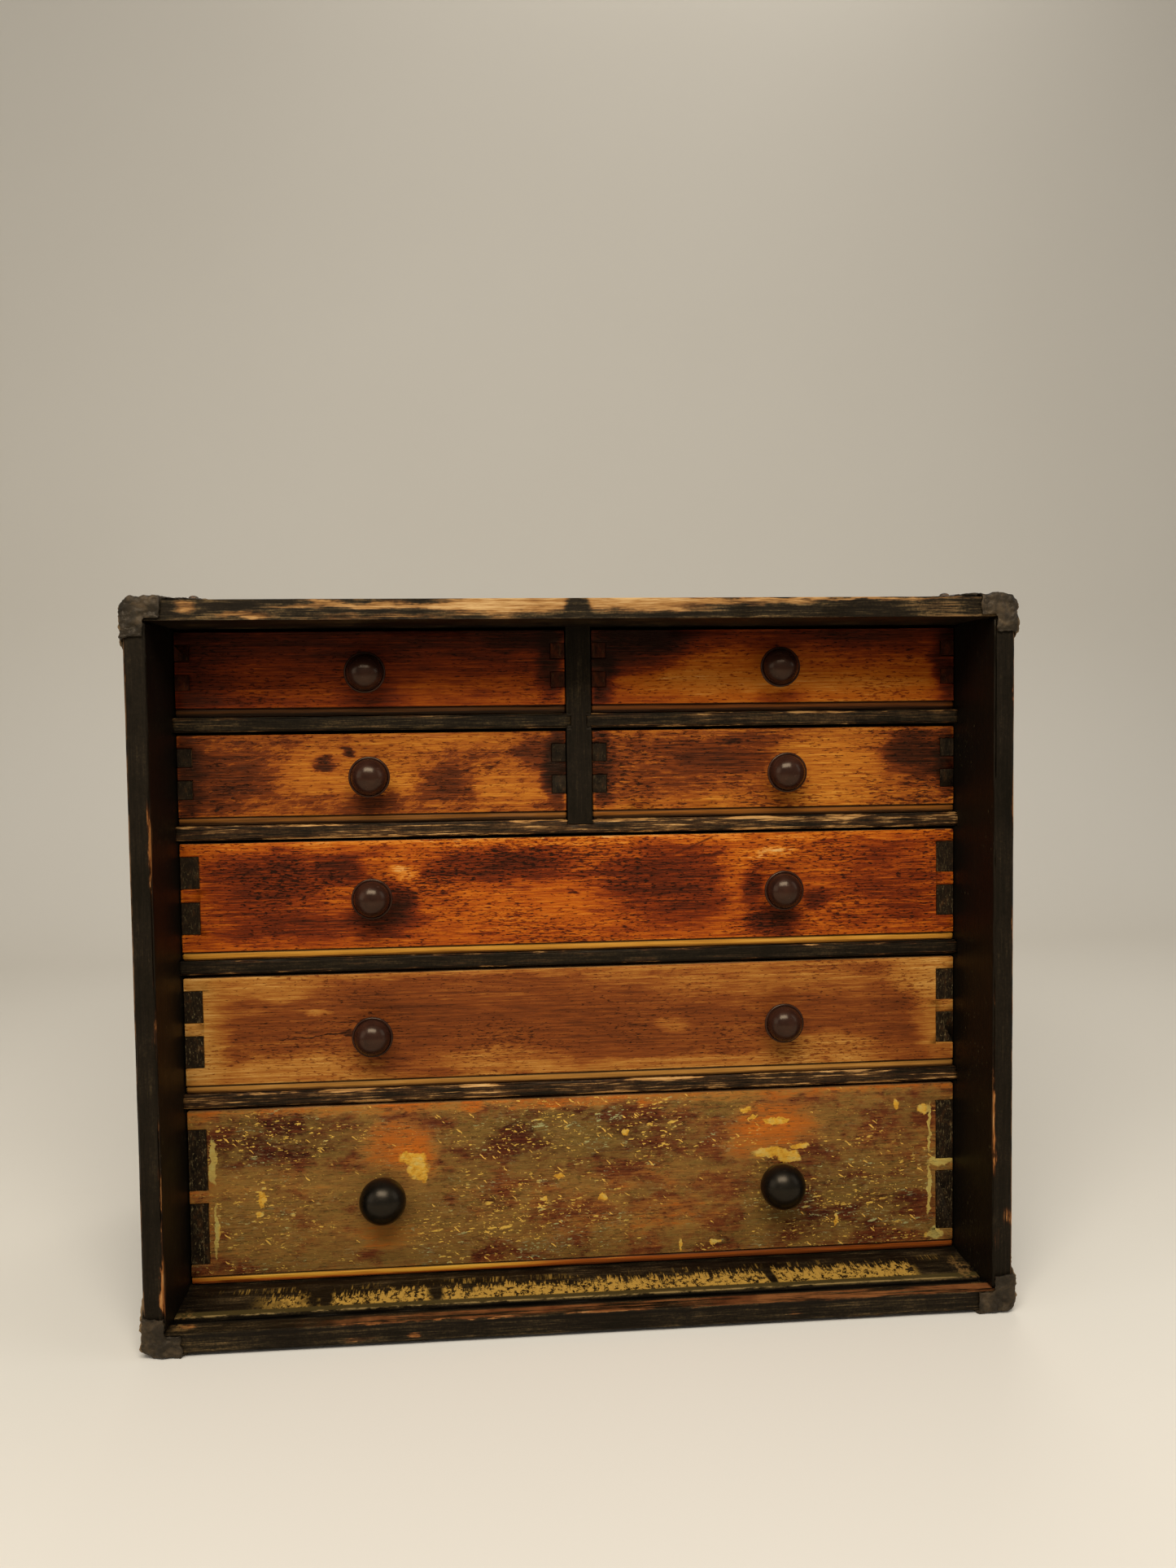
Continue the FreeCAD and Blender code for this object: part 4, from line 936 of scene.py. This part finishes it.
# ---- leather caps
def leather():
    """Black leather gone brown where it is folded, bruised at its rims."""
    f = Finish("corner_leather")
    cell = {"Vector": f.place, "Scale": 900}
    pebble = f.node("TexVoronoi", {"feature": "DISTANCE_TO_EDGE"}, cell)
    cells = f.step(pebble, 0, 0.24)
    fold = f.noise((7, 7, 7), 4, 0.62, 3, 0.8)
    cloud = f.noise((16, 16, 16), 4, 0.6, 8)
    shade = (fold - 0.5) * 0.9 + (cloud - 0.5) * 0.8 + 0.42
    tones = [(0.1, (18, 15, 12)), (0.42, (38, 32, 24)), (0.62, (64, 52, 37)), (0.85, (112, 90, 62))]
    colour = f.ramp(shade, *tones)
    low, high = span("cap_front_lower_left")
    across, up = f.x.size(), (f.z - CHEST_MIDDLE).size()
    tip_across, tip_up = -high.x, CHEST_MIDDLE - high.z
    wander = (fold - 0.5) * 3
    rim = f.step(across + wander, tip_across + 3, tip_across + 1)
    rim = rim.most(f.step(up + wander, tip_up + 3, tip_up + 1))
    rim = rim.most(f.step(across + wander, -low.x - 1.8, -low.x - 0.5) * 0.7)
    rubbed = rim * f.step(cloud, 0.3, 0.48)
    colour = f.mix(rubbed * 0.85, colour, (140, 112, 76))
    rough = 0.52 + (cloud - 0.5) * 0.3 - rubbed * 0.1
    return f.done(colour, rough, cells * 0.25 + fold * 1.2, 0.25, 0.7, gloss=0.2)


CAPS = [f"cap_front_{level}_{side}" for level in ("lower", "upper") for side in ("left", "right")]
CAPS.append("caps_rear")


def caps():
    finish = leather()
    for index, node in enumerate(CAPS):
        low, high = span(node)
        shape = node_mesh(node)
        plug_holes(shape, NAILS)
        bmesh.ops.triangulate(shape, faces=shape.faces)
        mesh = bpy.data.meshes.new(node)
        shape.to_mesh(mesh)
        shape.free()
        rough = add_object(node + "_blank", mesh)
        remesh = rough.modifiers.new("remesh", "REMESH")
        remesh.mode = "VOXEL"
        remesh.voxel_size = 0.0007 if node == "caps_rear" else 0.0006
        smooth = rough.modifiers.new("smooth", "SMOOTH")
        smooth.factor, smooth.iterations = 0.5, 3
        shape = bmesh.new()
        shape.from_object(rough, bpy.context.evaluated_depsgraph_get())
        bpy.data.objects.remove(rough)
        shape.normal_update()
        for v in shape.verts:
            at = Vector(v.co) / MM
            crease = noise.fractal(at / 7 + Vector((index, 2, 5)), 0.6, 2, 4)
            pucker = noise.noise(Vector((at.x / 3.2, at.y / 8, at.z / 3.2)) + Vector((index, 0, 0)))
            v.co += v.normal * MM * (1.15 * crease + 0.5 * pucker - 0.5)
            v.co = [min(max(c, a * MM), b * MM) for c, a, b in zip(v.co, low, high)]
        show(node + "_leather", as_mesh(shape, node, 80), "carcase", finish, [node])


# ---- nails and pins
def nail_tree(name, finish):
    """Domed nails, each along the way that is kept with its point."""
    tree = bpy.data.node_groups.new(name, "GeometryNodeTree")
    tree.interface.new_socket("Geometry", in_out="INPUT", socket_type="NodeSocketGeometry")
    names = {}
    for label in ("head width", "head height", "shank width", "shank length"):
        socket = tree.interface.new_socket(label, in_out="INPUT", socket_type="NodeSocketFloat")
        names[label] = socket.identifier
    tree.interface.new_socket("Geometry", in_out="OUTPUT", socket_type="NodeSocketGeometry")
    start, end = tree.nodes.new("NodeGroupInput"), tree.nodes.new("NodeGroupOutput")

    def node(kind, inputs=(), output=0, **settings):
        made = tree.nodes.new(kind)
        for key, value in settings.items():
            setattr(made, key, value)
        for key, value in dict(inputs).items():
            if isinstance(value, bpy.types.NodeSocket):
                tree.links.new(value, made.inputs[key])
            else:
                made.inputs[key].default_value = value
        return made.outputs[output]

    def times(one, two):
        return node("ShaderNodeMath", {0: one, 1: two}, operation="MULTIPLY")

    def vector(x=0, y=0, z=0):
        return node("ShaderNodeCombineXYZ", {0: x, 1: y, 2: z})

    width, height, thick, long = (start.outputs[label] for label in names)
    ball = node("GeometryNodeMeshUVSphere", {"Segments": 20, "Rings": 12, "Radius": 0.5})
    place = node("GeometryNodeInputPosition")
    up = node("ShaderNodeSeparateXYZ", {0: place}, 2)
    below = node("FunctionNodeCompare", {0: up, 1: -0.001}, operation="LESS_THAN")
    flat = node("ShaderNodeVectorMath", {0: place, 1: (1, 1, 0)}, operation="MULTIPLY")
    under = node("GeometryNodeSetPosition", {"Geometry": ball, "Selection": below, "Position": flat})
    head_size = vector(width, width, times(height, 2))
    sized = node("GeometryNodeTransform", {"Geometry": under, "Scale": head_size})
    head = node("GeometryNodeMergeByDistance", {"Geometry": sized, "Distance": 1e-6})
    shank_size = {"Vertices": 10, "Radius": times(thick, 0.5), "Depth": long}
    shank = node("GeometryNodeMeshCylinder", shank_size)
    drop = vector(z=times(long, -0.499))
    lowered = node("GeometryNodeTransform", {"Geometry": shank, "Translation": drop})
    whole = node("GeometryNodeJoinGeometry")
    for part in (head, lowered):
        tree.links.new(part, whole.node.inputs[0])
    way = node("GeometryNodeInputNamedAttribute", {"Name": "way"}, data_type="FLOAT_VECTOR")
    turn = node("FunctionNodeAlignRotationToVector", {"Vector": way}, axis="Z")
    planted = {"Points": start.outputs[0], "Instance": whole, "Rotation": turn}
    nails = node("GeometryNodeInstanceOnPoints", planted)
    real = node("GeometryNodeRealizeInstances", {0: nails})
    done = node("GeometryNodeSetMaterial", {"Geometry": real, "Material": finish})
    tree.links.new(done, end.inputs[0])
    return tree, names


def drive_nails(name, node, points, sizes, finish):
    """One mesh of nails for the carcase: points are (place, way), and sizes follow the tree's inputs."""
    tree, names = nail_tree(name + "_tree", finish)
    mesh = bpy.data.meshes.new(name + "_places")
    mesh.from_pydata([Vector(place) * MM for place, way in points], [], [])
    ways = mesh.attributes.new("way", "FLOAT_VECTOR", "POINT")
    for i, (place, way) in enumerate(points):
        ways.data[i].vector = way
    seed = add_object(name + "_places", mesh)
    nails = seed.modifiers.new("nails", "NODES")
    nails.node_group = tree
    for socket, size in zip(names.values(), sizes):
        nails[socket] = size * MM
    seen = seed.evaluated_get(bpy.context.evaluated_depsgraph_get())
    made = bpy.data.meshes.new_from_object(seen)
    seed.modifiers.clear()
    bpy.data.objects.remove(seed)
    shape = bmesh.new()
    shape.from_mesh(made)
    show(name, as_mesh(shape, name, 40), "carcase", finish, [node])


def nails():
    f = Finish("dull_nail")
    spot = f.noise((1.2, 1.2, 1.2), 3, 0.6, 3)
    rust = f.noise((2.6, 2.6, 2.6), 4, 0.65, 7)
    colour = f.ramp(rust, (0.38, (34, 30, 26)), (0.52, (66, 52, 40)), (0.66, (116, 74, 44)))
    finish = f.done(colour, 0.4 + spot * 0.3, spot, 0.08, 0.6)
    heads, pins = [], []
    for low, high in NAILS:
        middle = [(a + b) / 2 / MM for a, b in zip(low, high)]
        size = [(b - a) / MM for a, b in zip(low, high)]
        axis = max(range(3), key=lambda i: size[i] - sorted(size)[1])
        away = [0, 0, 0]
        away[axis] = copysign(1, middle[axis] - (0, 0, CHEST_MIDDLE)[axis])
        is_head = sorted(size)[1] > 4
        outer = (high[axis] if away[axis] > 0 else low[axis]) / MM - away[axis] * 0.05
        middle[axis] = outer - away[axis] * (NAIL_HEAD if is_head else PIN_HEAD)
        (heads if is_head else pins).append((middle, away))
    drive_nails("cap_nails_domed", "cap_nails", heads, (5, NAIL_HEAD, 1.6, 8.5), finish)
    drive_nails("panel_pins_driven", "panel_pins", pins, (2.4, PIN_HEAD, 1.1, 9), finish)


# ---- the studio
def studio():
    """A pale sheet that runs up behind the chest, a wide lamp above and weak ones around it."""
    scene.view_settings.view_transform = "Standard"
    shape = bmesh.new()
    line = [(-9, 0), (0.9, 0)]
    bend = [radians(t) for t in range(6, 91, 6)]
    line += [(0.9 + 0.5 * sin(t), 0.5 - 0.5 * cos(t)) for t in bend] + [(1.4, 6)]
    rows = [[shape.verts.new((x, y, z - 0.0001)) for x in (-9, 9)] for y, z in line]
    for (a, b), (c, d) in zip(rows, rows[1:]):
        shape.faces.new((a, b, d, c))
    mesh = as_mesh(shape, "floor_sheet")
    f = Finish("pale_floor")
    colour = f.mix(f.noise((700, 700, 700), 2, 0.5, 0), (206, 200, 188), (214, 209, 198))
    mesh.materials.append(f.done(colour, 0.85))
    sheet = add_object("floor_sheet", mesh)

    def lamp(name, place, aim, size, power, colour):
        light = bpy.data.lights.new(name, "AREA")
        light.shape, light.size, light.size_y = "RECTANGLE", *size
        light.energy, light.color = power, colour
        made = add_object(name, light)
        made.location = place
        made.rotation_euler = (Vector(aim) - Vector(place)).to_track_quat("-Z", "Y").to_euler()

    lamp("key", (-0.12, -1, 1.12), (0, 0, 0.17), (1, 0.5), 22, (1, 0.95, 0.88))
    lamp("left_fill", (-1.5, -0.9, 0.7), (0, 0, 0.17), (1, 1), 4, (1, 0.97, 0.93))
    lamp("right_fill", (1.5, -0.5, 0.9), (0, 0, 0.17), (1, 1), 4, (0.95, 0.97, 1))
    lamp("back_fill", (0.3, 1.3, 2.1), (0, 0, 0.15), (1.2, 0.8), 16, (1, 0.97, 0.93))
    world = bpy.data.worlds.new("studio")
    world.use_nodes = True
    backdrop = world.node_tree.nodes["Background"]
    backdrop.inputs["Color"].default_value = (1, 0.98, 0.95, 1)
    backdrop.inputs["Strength"].default_value = 0.3
    scene.world = world


aim_camera()
studio()
carcase()
back()
drawers()
knobs()
caps()
nails()
